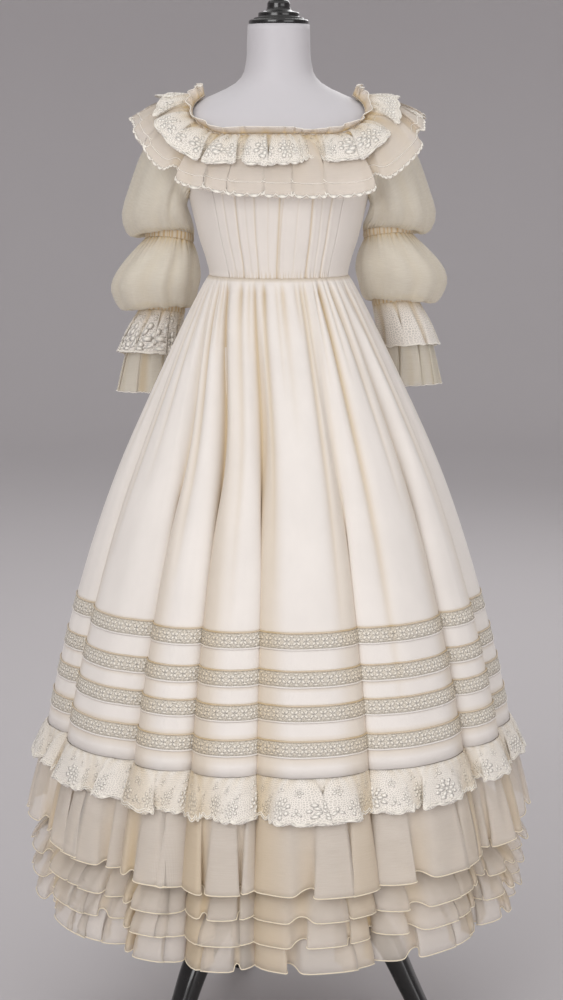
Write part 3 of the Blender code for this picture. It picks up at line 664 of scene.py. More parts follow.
def loft(rings):
    """A solid through closed rings of equal count, with a fan of triangles at both ends."""
    rows, columns = rings.shape[:2]
    points = np.concatenate([rings.reshape(-1, 3), rings[:1].mean(axis=1), rings[-1:].mean(axis=1)])
    corner_rows, corner_columns = quad_corners(rows, columns, True)
    faces = corner_rows * columns + corner_columns % columns
    around = rings[0] - rings[0].mean(axis=0)
    reach = np.linalg.norm(around, axis=-1).mean() * 2 * math.pi
    drop = np.concatenate([[0.0], np.cumsum(np.linalg.norm(np.diff(rings[:, 0], axis=0), axis=-1))])
    uvs = np.stack([corner_columns / columns * reach, drop[corner_rows]], axis=-1)
    left = np.arange(columns)
    right = (left + 1) % columns
    first = np.stack([left, right, np.full(columns, rows * columns)], axis=-1)
    last = np.stack([right, left, np.full(columns, rows * columns + 1)], axis=-1)
    last[:, :2] += (rows - 1) * columns
    fans = np.concatenate([first, last])
    fan_uvs = points[fans][..., :2]
    if volume(points, faces) < 0:
        faces, uvs, fans, fan_uvs = faces[:, ::-1], uvs[:, ::-1], fans[:, ::-1], fan_uvs[:, ::-1]
    return Part(points, [faces, fans], [uvs, fan_uvs], np.zeros(len(points)), 0)


def ring_cord(path, radius, slot):
    """A cord along a closed path: a square section, set square to the path at each of its points."""
    tangent = unit(np.roll(path, -1, axis=0) - np.roll(path, 1, axis=0))
    side = unit(np.cross(tangent, UP))
    rise = np.cross(side, tangent)
    turn = ring_places(CORD_SIDES, 2 * math.pi)
    section = np.cos(turn)[:, None, None] * side + np.sin(turn)[:, None, None] * rise
    grid = path + radius * section
    columns = len(path)
    corner_rows, corner_columns = quad_corners(CORD_SIDES + 1, columns, True)
    faces = (corner_rows % CORD_SIDES) * columns + corner_columns % columns
    run = ring_run(path)
    uvs = np.stack([run[corner_columns], corner_rows / CORD_SIDES * radius * 2 * math.pi], axis=-1)
    points = grid.reshape(-1, 3)
    if volume(points, faces) < 0:
        faces, uvs = faces[:, ::-1], uvs[:, ::-1]
    return Part(points, [faces], [uvs], np.zeros(len(points)), slot)


def cloth_cells(cloth, u, v):
    """Rows and columns of the four nearest grid points, and how far u and v lie between them."""
    rows, columns = cloth.grid.shape[:2]
    row = np.clip(v / cloth.length, 0.0, 1.0) * (rows - 1)
    column = (u / cloth.width * columns) % columns
    r0 = np.clip(np.floor(row).astype(int), 0, rows - 2)
    c0 = np.floor(column).astype(int) % columns
    return r0, c0, (c0 + 1) % columns, (row - r0)[..., None], (column - np.floor(column))[..., None]


def on_cloth(cloth, u, v, lift):
    """Points over a ring of cloth at flat places u and v in metres, raised by lift: a blend of four."""
    r0, c0, c1, down, over = cloth_cells(cloth, u, v)
    found = []
    for values in (cloth.grid, cloth.normals):
        upper = values[r0, c0] * (1 - over) + values[r0, c1] * over
        lower = values[r0 + 1, c0] * (1 - over) + values[r0 + 1, c1] * over
        found.append(upper * (1 - down) + lower * down)
    return found[0] + unit(found[1]) * np.asarray(lift)[..., None]


def petals(cloth, centres, half_long, half_short, turn, height, slot):
    """Stitched pads: ellipses on the cloth, raised to a point over their middle and closed below."""
    centres = np.asarray(centres, float)
    count = len(centres)
    long, short, angle = (np.broadcast_to(x, count) for x in (half_long, half_short, turn))
    sides = PETAL_SIDES
    around = ring_places(sides, 2 * math.pi)
    x = long[:, None] * np.cos(around)
    y = short[:, None] * np.sin(around)
    u = centres[:, :1] + x * np.cos(angle)[:, None] - y * np.sin(angle)[:, None]
    v = centres[:, 1:] + x * np.sin(angle)[:, None] + y * np.cos(angle)[:, None]
    rim = on_cloth(cloth, u, v, np.full(u.shape, 0.15 * MM))
    top = on_cloth(cloth, centres[:, 0], centres[:, 1], np.full(count, height))
    low = on_cloth(cloth, centres[:, 0], centres[:, 1], np.full(count, -0.1 * MM))
    points = np.concatenate([rim, top[:, None], low[:, None]], axis=1)
    left = np.arange(sides)
    right = (left + 1) % sides
    upper = np.stack([left, right, np.full(sides, sides)], axis=-1)
    under = np.stack([right, left, np.full(sides, sides + 1)], axis=-1)
    offsets = (np.arange(count) * (sides + 2))[:, None, None]
    pads = [(faces[None] + offsets).reshape(-1, 3) for faces in (upper, under)]
    flat_points = points.reshape(-1, 3)
    a, b, c = (flat_points[np.concatenate(pads)[:, i]] for i in range(3))
    if np.sum(np.cross(a, b) * c) < 0:
        pads = [faces[:, ::-1] for faces in pads]
    padded = [np.pad(x, ((0, 0), (0, 2)), mode="edge") for x in (u, v)]
    flat_uv = np.stack(padded, axis=-1).reshape(-1, 2)
    # each pad takes the painted shade of the cloth at its middle
    r0, c0 = cloth_cells(cloth, centres[:, 0], centres[:, 1])[:2]
    tint = np.repeat(cloth.tint[r0, c0], sides + 2)
    return Part(flat_points, pads, [flat_uv[faces] for faces in pads], tint, slot)


def make_piece(name, parts, materials):
    """One mesh object from parts, with its cloth map, its painted shade in the fold attribute and its
    materials.

    A part's first faces are smooth, and the others, its rims and undersides, are flat, so that they
    don't darken the edges of the smooth ones.
    """
    offset = 0
    faces = []
    uvs = []
    slots = []
    smooth = []
    for part in parts:
        for number, (corners, corner_uvs) in enumerate(zip(part.faces, part.uvs)):
            faces += (corners + offset).tolist()
            uvs.append(corner_uvs.reshape(-1, 2))
            slots.append(np.full(len(corners), part.slot))
            smooth.append(np.full(len(corners), number == 0))
        offset += len(part.points)
    points = np.concatenate([part.points for part in parts]) + AXIS
    mesh = bpy.data.meshes.new(name)
    mesh.from_pydata(points.tolist(), [], faces)
    layer = mesh.uv_layers.new(name="cloth")
    layer.data.foreach_set("uv", np.concatenate(uvs).astype(np.float32).ravel())
    shade = mesh.attributes.new("fold", "FLOAT", "POINT")
    shade.data.foreach_set("value", np.concatenate([part.tint for part in parts]).astype(np.float32))
    for material in materials:
        mesh.materials.append(material)
    mesh.polygons.foreach_set("material_index", np.concatenate(slots).astype(np.int32))
    mesh.polygons.foreach_set("use_smooth", np.concatenate(smooth))
    piece = bpy.data.objects.new(name, mesh)
    bpy.context.scene.collection.objects.link(piece)
    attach(piece, "root")
    return piece


def stands_for(nodes):
    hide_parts(*nodes.split())


def ring_cloth(grid, shade, wall):
    """A ring's wall, mapped by the lengths of its lowest row and its columns, and the ring's cloth."""
    width = ring_length(grid[-1])
    length = float(np.linalg.norm(np.diff(grid, axis=0), axis=-1).sum(axis=0).mean())
    shade = np.clip(np.broadcast_to(shade, grid.shape[:2]), 0.0, 1.0)
    part = shell(grid, wall, True, (width, length), shade)
    return part, Cloth(grid, oriented(grid), width, length, shade)


# Materials


def set_inputs(tree, node, values=None, links=None):
    """A shader node's socket values and its incoming links."""
    for socket, value in (values or {}).items():
        node.inputs[socket].default_value = value
    for socket, source in (links or {}).items():
        tree.links.new(source, node.inputs[socket])


def add_node(tree, kind, values=None, links=None, **fields):
    """One shader node with its fields, its socket values and its incoming links."""
    node = tree.nodes.new(kind)
    for field, value in fields.items():
        setattr(node, field, value)
    set_inputs(tree, node, values, links)
    return node


def blank_material(name):
    """A material with a Principled shader on its output, and nothing else."""
    material = bpy.data.materials.new(name)
    material.use_nodes = True
    tree = material.node_tree
    tree.nodes.clear()
    shader = add_node(tree, "ShaderNodeBsdfPrincipled")
    add_node(tree, "ShaderNodeOutputMaterial", links={"Surface": shader.outputs["BSDF"]})
    return material, tree, shader


def solid_colour(colour, factor=1.0):
    return (*(min(channel * factor, 1.0) for channel in colour), 1.0)


def weave_height(tree, coordinate, pitch, slub):
    """Crossed threads: two sets of waves at right angles, and a noise that thickens some threads."""
    scale = 0.5 / pitch
    waves = {"Scale": scale, "Distortion": 0.4}
    place = {"Vector": coordinate}
    warp = add_node(tree, "ShaderNodeTexWave", waves, place, bands_direction="X")
    weft = add_node(tree, "ShaderNodeTexWave", waves, place, bands_direction="Y")
    crossed = {0: warp.outputs["Fac"], 1: weft.outputs["Fac"]}
    both = add_node(tree, "ShaderNodeMath", links=crossed, operation="MAXIMUM")
    stretched = add_node(tree, "ShaderNodeMapping", {"Scale": (60.0, 900.0, 1.0)}, place)
    slubs = {"Scale": 1.0, "Detail": 2.0}
    thick = add_node(tree, "ShaderNodeTexNoise", slubs, {"Vector": stretched.outputs[0]})
    return add_node(
        tree,
        "ShaderNodeMath",
        {1: slub},
        {0: thick.outputs["Fac"], 2: both.outputs[0]},
        operation="MULTIPLY_ADD",
    ).outputs[0]


def mottled(tree, place, colour, size, amount):
    """The colour, a little lighter and darker in soft patches of the given size."""
    clouds = {"Scale": 1.0 / size, "Detail": 3.0, "Roughness": 0.55}
    patches = add_node(tree, "ShaderNodeTexNoise", clouds, {"Vector": place})
    level = add_node(
        tree, "ShaderNodeMapRange", {"From Min": 0.3, "From Max": 0.7}, {"Value": patches.outputs["Fac"]}
    )
    return add_node(
        tree,
        "ShaderNodeMix",
        {"A": solid_colour(colour, 1.0 - amount), "B": solid_colour(colour, 1.0 + amount)},
        {"Factor": level.outputs["Result"]},
        data_type="RGBA",
    ).outputs["Result"]


def folded(tree, colour, deep, strength):
    """The colour going over to a deeper one as the piece's fold attribute rises: painted shade in folds,
    creases and gathers.
    """
    fold = add_node(tree, "ShaderNodeAttribute", attribute_name="fold")
    share = add_node(
        tree, "ShaderNodeMath", {1: strength}, {0: fold.outputs["Fac"]}, operation="MULTIPLY"
    )
    links = {"A": colour, "Factor": share.outputs[0]}
    mixed = add_node(tree, "ShaderNodeMix", {"B": solid_colour(deep)}, links, data_type="RGBA")
    return mixed.outputs["Result"], fold.outputs["Fac"]


def cotton_lawn(name, colours):
    """Cotton lawn, plain woven and washed: matt, close, with a faint thread grain and soft patches."""
    material, tree, shader = blank_material(name)
    cloth = add_node(tree, "ShaderNodeUVMap", uv_map="cloth").outputs[0]
    base = mottled(tree, cloth, colours.cotton, 60 * MM, 0.025)
    # painted shade: the lawn deepens as the fold attribute rises
    colour, _ = folded(tree, base, colours.cotton_fold_shade, 0.9)
    # the threads are 0.3 mm apart, drawn at 1.2 mm so that a render can show them
    height = weave_height(tree, cloth, 1.2 * MM, 0.8)
    threads = {"Strength": 0.12, "Distance": 0.2 * MM}
    relief = add_node(tree, "ShaderNodeBump", threads, {"Height": height})
    set_inputs(
        tree,
        shader,
        {"Roughness": 0.85, "Sheen Weight": 0.2, "Sheen Roughness": 0.45, "Specular IOR Level": 0.25},
        {"Base Color": colour, "Normal": relief.outputs[0]},
    )
    return material


def organza_cloth(name, base, deep, thin, thick):
    """Organza, a stiff open weave of fine twisted yarn: sheer over nothing, denser where it gathers.

    Each layer is a shell of two faces, so the cover of one face is less than that of the cloth.
    """
    material, tree, shader = blank_material(name)
    cloth = add_node(tree, "ShaderNodeUVMap", uv_map="cloth").outputs[0]
    # painted shade: the colour deepens as the fold attribute rises, and the same attribute raises the
    # cover where the cloth gathers
    colour, fold = folded(tree, mottled(tree, cloth, base, 35 * MM, 0.02), deep, 1.0)
    cover = add_node(
        tree, "ShaderNodeMapRange", {"To Min": thin, "To Max": thick}, {"Value": fold}
    ).outputs["Result"]
    # the yarns are 0.25 mm apart, drawn at 1.0 mm so that a render can show them
    height = weave_height(tree, cloth, 1.0 * MM, 0.9)
    spread = {"From Min": 0.4, "From Max": 1.6, "To Min": -0.05, "To Max": 0.05}
    grain = add_node(tree, "ShaderNodeMapRange", spread, {"Value": height})
    terms = {0: cover, 1: grain.outputs["Result"]}
    alpha = add_node(tree, "ShaderNodeMath", links=terms, operation="ADD", use_clamp=True)
    threads = {"Strength": 0.12, "Distance": 0.2 * MM}
    relief = add_node(tree, "ShaderNodeBump", threads, {"Height": height})
    set_inputs(
        tree,
        shader,
        {"Roughness": 0.6, "Sheen Weight": 0.3, "Sheen Roughness": 0.35, "Specular IOR Level": 0.35},
        {"Base Color": colour, "Alpha": alpha.outputs[0], "Normal": relief.outputs[0]},
    )
    return material


def rolled_hem(name, colours):
    """Organza rolled into a hem of four layers and stitched: close, pale, with the stitches as ribs."""
    material, tree, shader = blank_material(name)
    cloth = add_node(tree, "ShaderNodeUVMap", uv_map="cloth").outputs[0]
    colour = mottled(tree, cloth, colours.organza_hem, 8 * MM, 0.04)
    # stitches are 2.5 mm long and are drawn at that length
    stitches = add_node(
        tree, "ShaderNodeTexWave", {"Scale": 0.5 / (2.5 * MM)}, {"Vector": cloth}, bands_direction="X"
    )
    ribs = {"Strength": 0.3, "Distance": 0.2 * MM}
    relief = add_node(tree, "ShaderNodeBump", ribs, {"Height": stitches.outputs["Fac"]})
    set_inputs(
        tree,
        shader,
        {"Roughness": 0.7, "Sheen Weight": 0.2},
        {"Base Color": colour, "Normal": relief.outputs[0]},
    )
    return material


def lace_net(name, colour, deep, cover):
    """Machine net of fine thread: open cells of about 1.5 mm with the ground seen through them."""
    material, tree, shader = blank_material(name)
    cloth = add_node(tree, "ShaderNodeUVMap", uv_map="cloth").outputs[0]
    # painted shade: the net deepens as the fold attribute rises
    shaded, _ = folded(tree, mottled(tree, cloth, colour, 12 * MM, 0.03), deep, 0.8)
    # the cells are 1.5 mm wide, drawn at 2.6 mm so that a render can show them
    cells = add_node(
        tree,
        "ShaderNodeTexVoronoi",
        {"Scale": 1.0 / (2.6 * MM), "Randomness": 0.85},
        {"Vector": cloth},
        voronoi_dimensions="2D",
        feature="DISTANCE_TO_EDGE",
    )
    thread = add_node(
        tree,
        "ShaderNodeMapRange",
        {"From Min": 0.06, "From Max": 0.20, "To Min": 0.95, "To Max": cover},
        {"Value": cells.outputs["Distance"]},
    )
    set_inputs(
        tree,
        shader,
        {"Roughness": 0.8, "Sheen Weight": 0.2},
        {"Base Color": shaded, "Alpha": thread.outputs["Result"]},
    )
    return material


def stitched_thread(name, colours):
    """Rayon embroidery thread laid in satin stitch: white, with a soft shine along fine ribs."""
    material, tree, shader = blank_material(name)
    cloth = add_node(tree, "ShaderNodeUVMap", uv_map="cloth").outputs[0]
    base = mottled(tree, cloth, colours.thread, 4 * MM, 0.03)
    # painted shade: the thread deepens in the folds of the cloth under it
    colour, _ = folded(tree, base, colours.organza_fold_shade, 0.8)
    # stitches lie 0.4 mm apart, drawn at 0.8 mm so that a close view can show them
    ribs = add_node(
        tree,
        "ShaderNodeTexWave",
        {"Scale": 0.5 / (0.8 * MM), "Distortion": 1.0},
        {"Vector": cloth},
        bands_direction="DIAGONAL",
    )
    relief = add_node(
        tree, "ShaderNodeBump", {"Strength": 0.2, "Distance": 0.15 * MM}, {"Height": ribs.outputs["Fac"]}
    )
    set_inputs(
        tree,
        shader,
        {"Roughness": 0.5, "Sheen Weight": 0.3},
        {"Base Color": colour, "Normal": relief.outputs[0]},
    )
    return material


def form_cover(name, colours):
    """Jersey cover stretched over a moulded form: cool white, smooth, with a faint soft sheen."""
    material, tree, shader = blank_material(name)
    place = add_node(tree, "ShaderNodeTexCoord").outputs["Object"]
    colour = mottled(tree, place, colours.form, 90 * MM, 0.015)
    loops = {"Scale": 1.0 / (1.5 * MM), "Detail": 2.0}
    fuzz = add_node(tree, "ShaderNodeTexNoise", loops, {"Vector": place})
    relief = add_node(
        tree, "ShaderNodeBump", {"Strength": 0.05, "Distance": 0.2 * MM}, {"Height": fuzz.outputs["Fac"]}
    )
    set_inputs(
        tree,
        shader,
        {"Roughness": 0.55, "Sheen Weight": 0.15},
        {"Base Color": colour, "Normal": relief.outputs[0]},
    )
    return material


def black_lacquer(name, colours):
    """Turned beech under polished black lacquer: near black, glossy, with slight waves in the coat."""
    material, tree, shader = blank_material(name)
    place = add_node(tree, "ShaderNodeTexCoord").outputs["Object"]
    colour = mottled(tree, place, colours.lacquer, 30 * MM, 0.2)
    patches = {"Scale": 1.0 / (25 * MM), "Detail": 4.0}
    wear = add_node(tree, "ShaderNodeTexNoise", patches, {"Vector": place})
    rough = add_node(
        tree, "ShaderNodeMapRange", {"To Min": 0.16, "To Max": 0.34}, {"Value": wear.outputs["Fac"]}
    )
    waves = {"Scale": 1.0 / (6 * MM), "Detail": 1.0}
    ripple = add_node(tree, "ShaderNodeTexNoise", waves, {"Vector": place})
    coat = {"Strength": 0.08, "Distance": 0.3 * MM}
    relief = add_node(tree, "ShaderNodeBump", coat, {"Height": ripple.outputs["Fac"]})
    set_inputs(
        tree,
        shader,
        {"Coat Weight": 0.6, "Coat Roughness": 0.08},
        {"Base Color": colour, "Roughness": rough.outputs["Result"], "Normal": relief.outputs[0]},
    )
    return material


# The form's surface and the edges that the cloth follows on it


def form_point(angle, height):
    """Ellipses whose half width, half depth and shift follow the form's table."""
    turn = np.radians(angle)
    half_width = smooth_column(FORM, "half_width", height)
    half_depth = smooth_column(FORM, "half_depth", height)
    shift = smooth_column(FORM, "shift", height)
    x = half_width * np.sin(turn)
    y = shift - half_depth * np.cos(turn)
    return np.stack([x, y, np.broadcast_to(WAIST + height, x.shape)], axis=-1)


def lifted(angle, height, clearance):
    """Points moved off the form's surface by a clearance along its normal."""
    angle, height = np.broadcast_arrays(np.asarray(angle, float), np.asarray(height, float))
    along = form_point(angle + SMALL_TURN, height) - form_point(angle - SMALL_TURN, height)
    upward = form_point(angle, height + SMALL_RISE) - form_point(angle, height - SMALL_RISE)
    return form_point(angle, height) + unit(np.cross(along, upward)) * np.asarray(clearance)[..., None]


def folded_angle(angle):
    return np.abs((np.asarray(angle) + 180.0) % 360.0 - 180.0)


def neckline(angle):
    """Height of the neckline: level across the front, rising steeply at the shoulders."""
    folded = folded_angle(angle)
    middle = np.where(folded < 90.0, NECK_FRONT, NECK_BACK)
    share = smoothstep(NECK_RISE_START, NECK_RISE_END, 90.0 - np.abs(90.0 - folded))
    return middle + (NECK_SIDE - middle) * share


def bodice_top(angle):
    """Upper edge of the bodice: the neckline, and at the sides the armhole's lower half, an ellipse."""
    folded = folded_angle(angle)
    share = (90.0 - folded) / ARMHOLE_HALF
    notch = neckline(90.0 - ARMHOLE_HALF * np.sign(share))
    fall = (notch - UNDERARM) * np.sqrt(np.clip(1 - share**2, 0.0, 1.0))
    return np.where(np.abs(share) >= 1, neckline(folded), notch - fall)


def flat_outward(angles):
    turn = np.radians(angles)
    return np.stack([np.sin(turn), -np.cos(turn), np.zeros_like(turn)], axis=-1)


# The skirt's surface


def bump(place, peak):
    """1 at the peak, 0 at -1 and 1: the square of a parabola on each side."""
    share = np.where(place > peak, (place - peak) / (1 - peak), (place - peak) / (1 + peak))
    return (1 - share**2) ** 2


def fold_columns(density):
    """Columns round the skirt: place, sideways lean, depth and shade, closer together in the troughs.

    Across a trough, s runs from -1 to 1. The cloth lies at width * (s - lean * sin(pi s)), so its
    edges close over the trough, and its depth is a bump with its peak to one side. The side that
    lies under is shaded, from the overlapping edge to nearly two widths away. The last value is the
    number of the column that each trough starts with.
    """
    places = []
    leans = []
    depths = []
    shades = []
    starts = []
    half = ring_places(density.per_half_trough)
    for number, trough in enumerate(TROUGHS):
        following = TROUGHS[(number + 1) % len(TROUGHS)]
        end = following.angle + (360.0 if number == len(TROUGHS) - 1 else 0.0)
        low = trough.angle + trough.width
        high = end - following.width
        count = max(4, round((high - low) * density.per_degree))
        between = np.linspace(low, high, count, endpoint=False)
        leaving = trough.angle + trough.width * half
        place = np.concatenate([leaving, between, high + following.width * half])
        share = (place - trough.angle) / (end - trough.angle)
        broad = ((1 + np.cos(2 * math.pi * share)) / 2) ** 2
        broad = broad * np.where(share < 0.5, trough.depth, following.depth)
        still = np.zeros(len(between))
        leaving = -trough.lean * trough.width * np.sin(math.pi * half)
        nearing = -following.lean * following.width * np.sin(math.pi * (half - 1))
        lean = np.concatenate([leaving, still, nearing])
        leaving = bump(half, trough.peak) * trough.depth
        nearing = bump(half - 1, following.peak) * following.depth
        narrow = np.concatenate([leaving, still, nearing])
        shade = np.zeros(len(place))
        for edge, centre in ((trough, trough.angle), (following, end)):
            under = (place - centre) / edge.width * (np.sign(edge.peak) or 1.0)
            if edge.peak:
                band = smoothstep(-0.3, 0.2, under) * smoothstep(2.1, 0.5, under)
            else:
                band = smoothstep(1.3, 0.1, np.abs(under))
            shade = np.maximum(shade, band * edge.depth)
        starts.append(sum(len(p) for p in places))
        shades.append(shade)
        places.append(place)
        leans.append(lean)
        depths.append((1 - NARROW_SHARE) * broad + NARROW_SHARE * narrow)
    return tuple(np.concatenate(values) for values in (places, leans, depths, shades)) + (starts,)


def small_creases():
    """Short gathers between the long creases, at uneven spacing, as rows of the same table."""
    chance = np.random.default_rng(11)
    spacing = 360.0 / SMALL_GATHERS
    gathers = []
    for number in range(SMALL_GATHERS):
        place = TROUGHS[0].angle + (number + chance.uniform(0.2, 0.8)) * spacing
        depth = chance.uniform(0.0030, 0.0050)
        length = chance.uniform(0.05, 0.20)
        gathers.append(Crease(place, depth, length, chance.uniform(0.0026, 0.0040)))
    return tuple(gathers)


def crease_depth(places, heights, reach):
    """Depth and shade of narrow valleys down chosen columns, each fading out at its own length.

    A valley is a wide and a narrow bell curve together, and its shade lies mostly in the narrow one.
    """
    depth = np.zeros((len(heights), len(places)))
    shade = np.zeros_like(depth)
    fall = np.maximum(SKIRT_TOP - heights, 0.0)[:, None]
    for crease in CREASES + small_creases():
        away = (places - crease.place + 180.0) % 360.0 - 180.0
        distance = np.radians(away)[None, :] * reach[:, None]
        half_width = crease.half_width * (0.45 + 1.2 * np.sqrt(fall / crease.length))
        fade = np.clip(1 - fall / crease.length, 0.0, 1.0) ** 0.8
        start = 0.1 + 0.9 * smoothstep(0.001, 0.022, fall)
        wide = np.exp(-((distance / half_width) ** 2))
        narrow = np.exp(-((distance / (0.45 * half_width)) ** 2))
        depth += crease.depth * fade * start * (0.65 * wide + 0.35 * narrow)
        shade += crease.depth / 0.0065 * fade * start * (0.22 * wide + 0.58 * narrow)
    return depth, shade


def waist_warp(places):
    """Where each column starts at the waist, blended between the troughs' own starting angles."""
    low = [t.angle for t in TROUGHS] + [TROUGHS[0].angle + 360.0]
    top = [t.waist_angle for t in TROUGHS] + [TROUGHS[0].waist_angle + 360.0]
    return np.interp((places - low[0]) % 360.0 + low[0], low, top)


def skirt_grid(columns, heights, out, lean_share=1.0):
    """Level rings: ellipses of the outline, drawn in by the folds and creases and moved out by out."""
    places, leans, depths, under = columns[:4]
    heights = np.asarray(heights, float)
    half_width = smooth_column(SKIRT, "half_width", heights)[:, None]
    half_depth = smooth_column(SKIRT, "half_depth", heights)[:, None]
    fold = smooth_column(SKIRT, "fold", heights)[:, None]
    rise = np.clip((heights - DRIFT_BOTTOM) / (SKIRT_TOP - DRIFT_BOTTOM), 0.0, 1.0)[:, None] ** 2
    ramp = lean_share * smoothstep(LEAN_START, LEAN_FULL, heights)[:, None]
    angle = places + leans * ramp + rise * (waist_warp(places) - places)
    creases, shade = crease_depth(places, heights, half_width[:, 0])
    inset = fold * depths + creases - np.asarray(out)
    turn = np.radians(angle)
    level = np.broadcast_to(heights[:, None], angle.shape)
    x = (half_width - inset) * np.sin(turn)
    y = -(half_depth - inset) * np.cos(turn)
    grid = np.stack([x, y, level], axis=-1)
    # painted shade: the creases' shade, and more in the troughs and on the cloth that lies under a
    # fold's edge
    trough = 0.45 * np.clip(depths, 0.0, 1.0) ** 4 + 0.5 * under
    return grid, np.clip(0.8 * shade + trough * np.clip(fold / 0.04, 0.0, 1.0) ** 0.8, 0.0, 1.0)


def even_columns(count):
    """Columns round the skirt at even steps of the cloth's own length, read between the fold columns."""
    columns = fold_columns(READING_DENSITY)
    ring, _ = skirt_grid(columns, [SKIRT_BOTTOM], 0.0, 0.8)
    run = ring_run(ring[0])
    at = ring_places(count, run[-1])
    values = []
    for column, step in zip(columns[:4], (360.0, 0.0, 0.0, 0.0)):
        values.append(np.interp(at, run, np.append(column, column[0] + step)))
    return values


def ruffle(phases, waves, seed):
    """A ruffle's steps out and along and its inner folds, for a phase in whole waves.

    Out is cos - 0.25 cos of twice the turn: wide crests and narrow troughs. Along is sin + 0.5 sin
    of twice the turn, which lays the flanks over the troughs, with a lean to one side of its own.
    """
    turn = 2 * math.pi * phases
    size = per_wave(phases, waves, 0.4, 1.35, seed)
    lean = per_wave(phases, waves, -0.9, 0.9, seed + 500)
    out = size * (np.cos(turn) - 0.25 * np.cos(2 * turn))
    along = size * (np.sin(turn) + 0.5 * np.sin(2 * turn) + lean * np.cos(turn))
    return out, along, (0.5 - 0.5 * np.cos(turn)) ** 3


def waved(grid, depth, side, phases, seed, waves):
    """A ring grid with a ruffle: out and in level with the floor, and to the side along the ring."""
    outward = unit(grid_normals(grid, True) * np.array([1.0, 1.0, 0.0]))
    sideways = np.cross(UP, outward)
    out, along, _ = ruffle(phases, waves, seed)
    return grid + outward * (depth * out)[..., None] + sideways * (side * along)[..., None]


def ring_length(ring):
    return float(np.linalg.norm(np.roll(ring, -1, axis=0) - ring, axis=-1).sum())


def hem_rise(columns, share, phases, waves, seed):
    """How far a hem rises: in the large and small troughs, slowly round the ring, and wave by wave."""
    uneven = 3.5 * MM * swell(share, seed, 7) + 3.0 * MM * per_wave(phases, waves, -1.0, 1.0, seed + 1)
    troughs = 0.5 - 0.5 * np.cos(2 * math.pi * phases)
    return uneven + 9.0 * MM * np.clip(columns[2], 0.0, 1.0) ** 2 + 9.0 * MM * troughs**3 - 2.0 * MM


def side_rise(columns, reach):
    """The hem's rise towards both sides, less at the back: a smooth step in the angle."""
    away = (columns[0] + 180.0) % 360.0 - 180.0
    return reach * smoothstep(12.0, 75.0, np.abs(away)) * np.where(np.abs(away) < 130.0, 1.0, 0.6)


# Lace patterns, laid out on the flat cut


def repeats(width, spacing):
    """Even places along the width, as near to the spacing as closes the ring."""
    count = max(1, round(width / spacing))
    return np.arange(count) * width / count, width / count


def rosette(starts, u, v, radius, count, turn=0.0):
    """Petals in a ring round a flower's middle, for every repeat: centres, sizes and turns."""
    angle = turn + np.arange(count) * 2 * math.pi / count
    x = u + radius * np.cos(angle)
    y = v + radius * np.sin(angle)
    centres = np.stack(np.broadcast_arrays(starts[:, None] + x, y), axis=-1).reshape(-1, 2)
    return centres, np.tile(angle, len(starts))


def flower(cloth, starts, u, v, size, count, slot, rings=2):
    """Rings of petals and a middle."""
    middle = np.stack([starts + u, np.full(len(starts), v)], axis=-1)
    parts = [petals(cloth, middle, size * 0.18, size * 0.18, 0.0, 0.35 * MM, slot)]
    layout = ((0.46, 0.0, 0, 0.28, 0.20), (0.82, 0.5, 2, 0.25, 0.24))
    for ring, share, more, long, short in layout[:rings]:
        centres, turns = rosette(starts, u, v, size * ring, count + more, share)
        parts.append(petals(cloth, centres, size * long, size * short, turns, 0.35 * MM, slot))
    return parts


def sprig(cloth, starts, u, v, size, turn, slot):
    """A leaf spray: leaves in pairs along a short stem."""
    parts = []
    for step, spread in ((0.0, 0.0), (0.45, 0.75), (0.45, -0.75)):
        angle = turn + spread
        x = u + size * step * math.cos(turn) + 0.28 * size * math.cos(angle)
        y = v + size * step * math.sin(turn) + 0.28 * size * math.sin(angle)
        centres = np.stack([starts + x, np.full(len(starts), y)], axis=-1)
        parts.append(petals(cloth, centres, 0.30 * size, 0.13 * size, angle, 0.3 * MM, slot))
    return parts


def scallops(cloth, spacing, rise, thickness, slot, lines=2, per_arc=6):
    """Cords along the scalloped edge: arcs that hang between even points, over stitched fillings."""
    starts, step = repeats(cloth.width, spacing)
    share = np.arange(per_arc) / per_arc
    u = (starts[:, None] + share * step).ravel()
    arc = np.tile(np.sin(math.pi * share), len(starts))
    parts = []
    for line in range(lines):
        v = cloth.length - 0.3 * MM - 2.6 * thickness * line - rise * (1 - arc)
        path = on_cloth(cloth, u, v, np.full(len(u), 0.4 * MM))
        parts.append(ring_cord(path, thickness / 2, slot))
    centres = np.stack([starts + step / 2, np.full(len(starts), cloth.length - 0.5 * rise)], axis=-1)
    parts.append(petals(cloth, centres, 0.42 * step, 0.5 * rise, 0.0, 0.4 * MM, slot))
    return parts


def scalloped(grid, lace):
    """The grid with its lower rows drawn up between the scallops: |sin| along the edge."""
    rows, columns = grid.shape[:2]
    count = max(1, round(ring_length(grid[-1]) / lace.scallop))
    share = np.arange(columns) / columns * count
    notch = (1 - np.abs(np.sin(math.pi * share))) ** 2 * lace.notch
    depth = np.linspace(0.0, 1.0, rows)[:, None] ** 3
    down = unit(np.gradient(grid, axis=0))
    return grid - down * (notch * depth)[..., None]


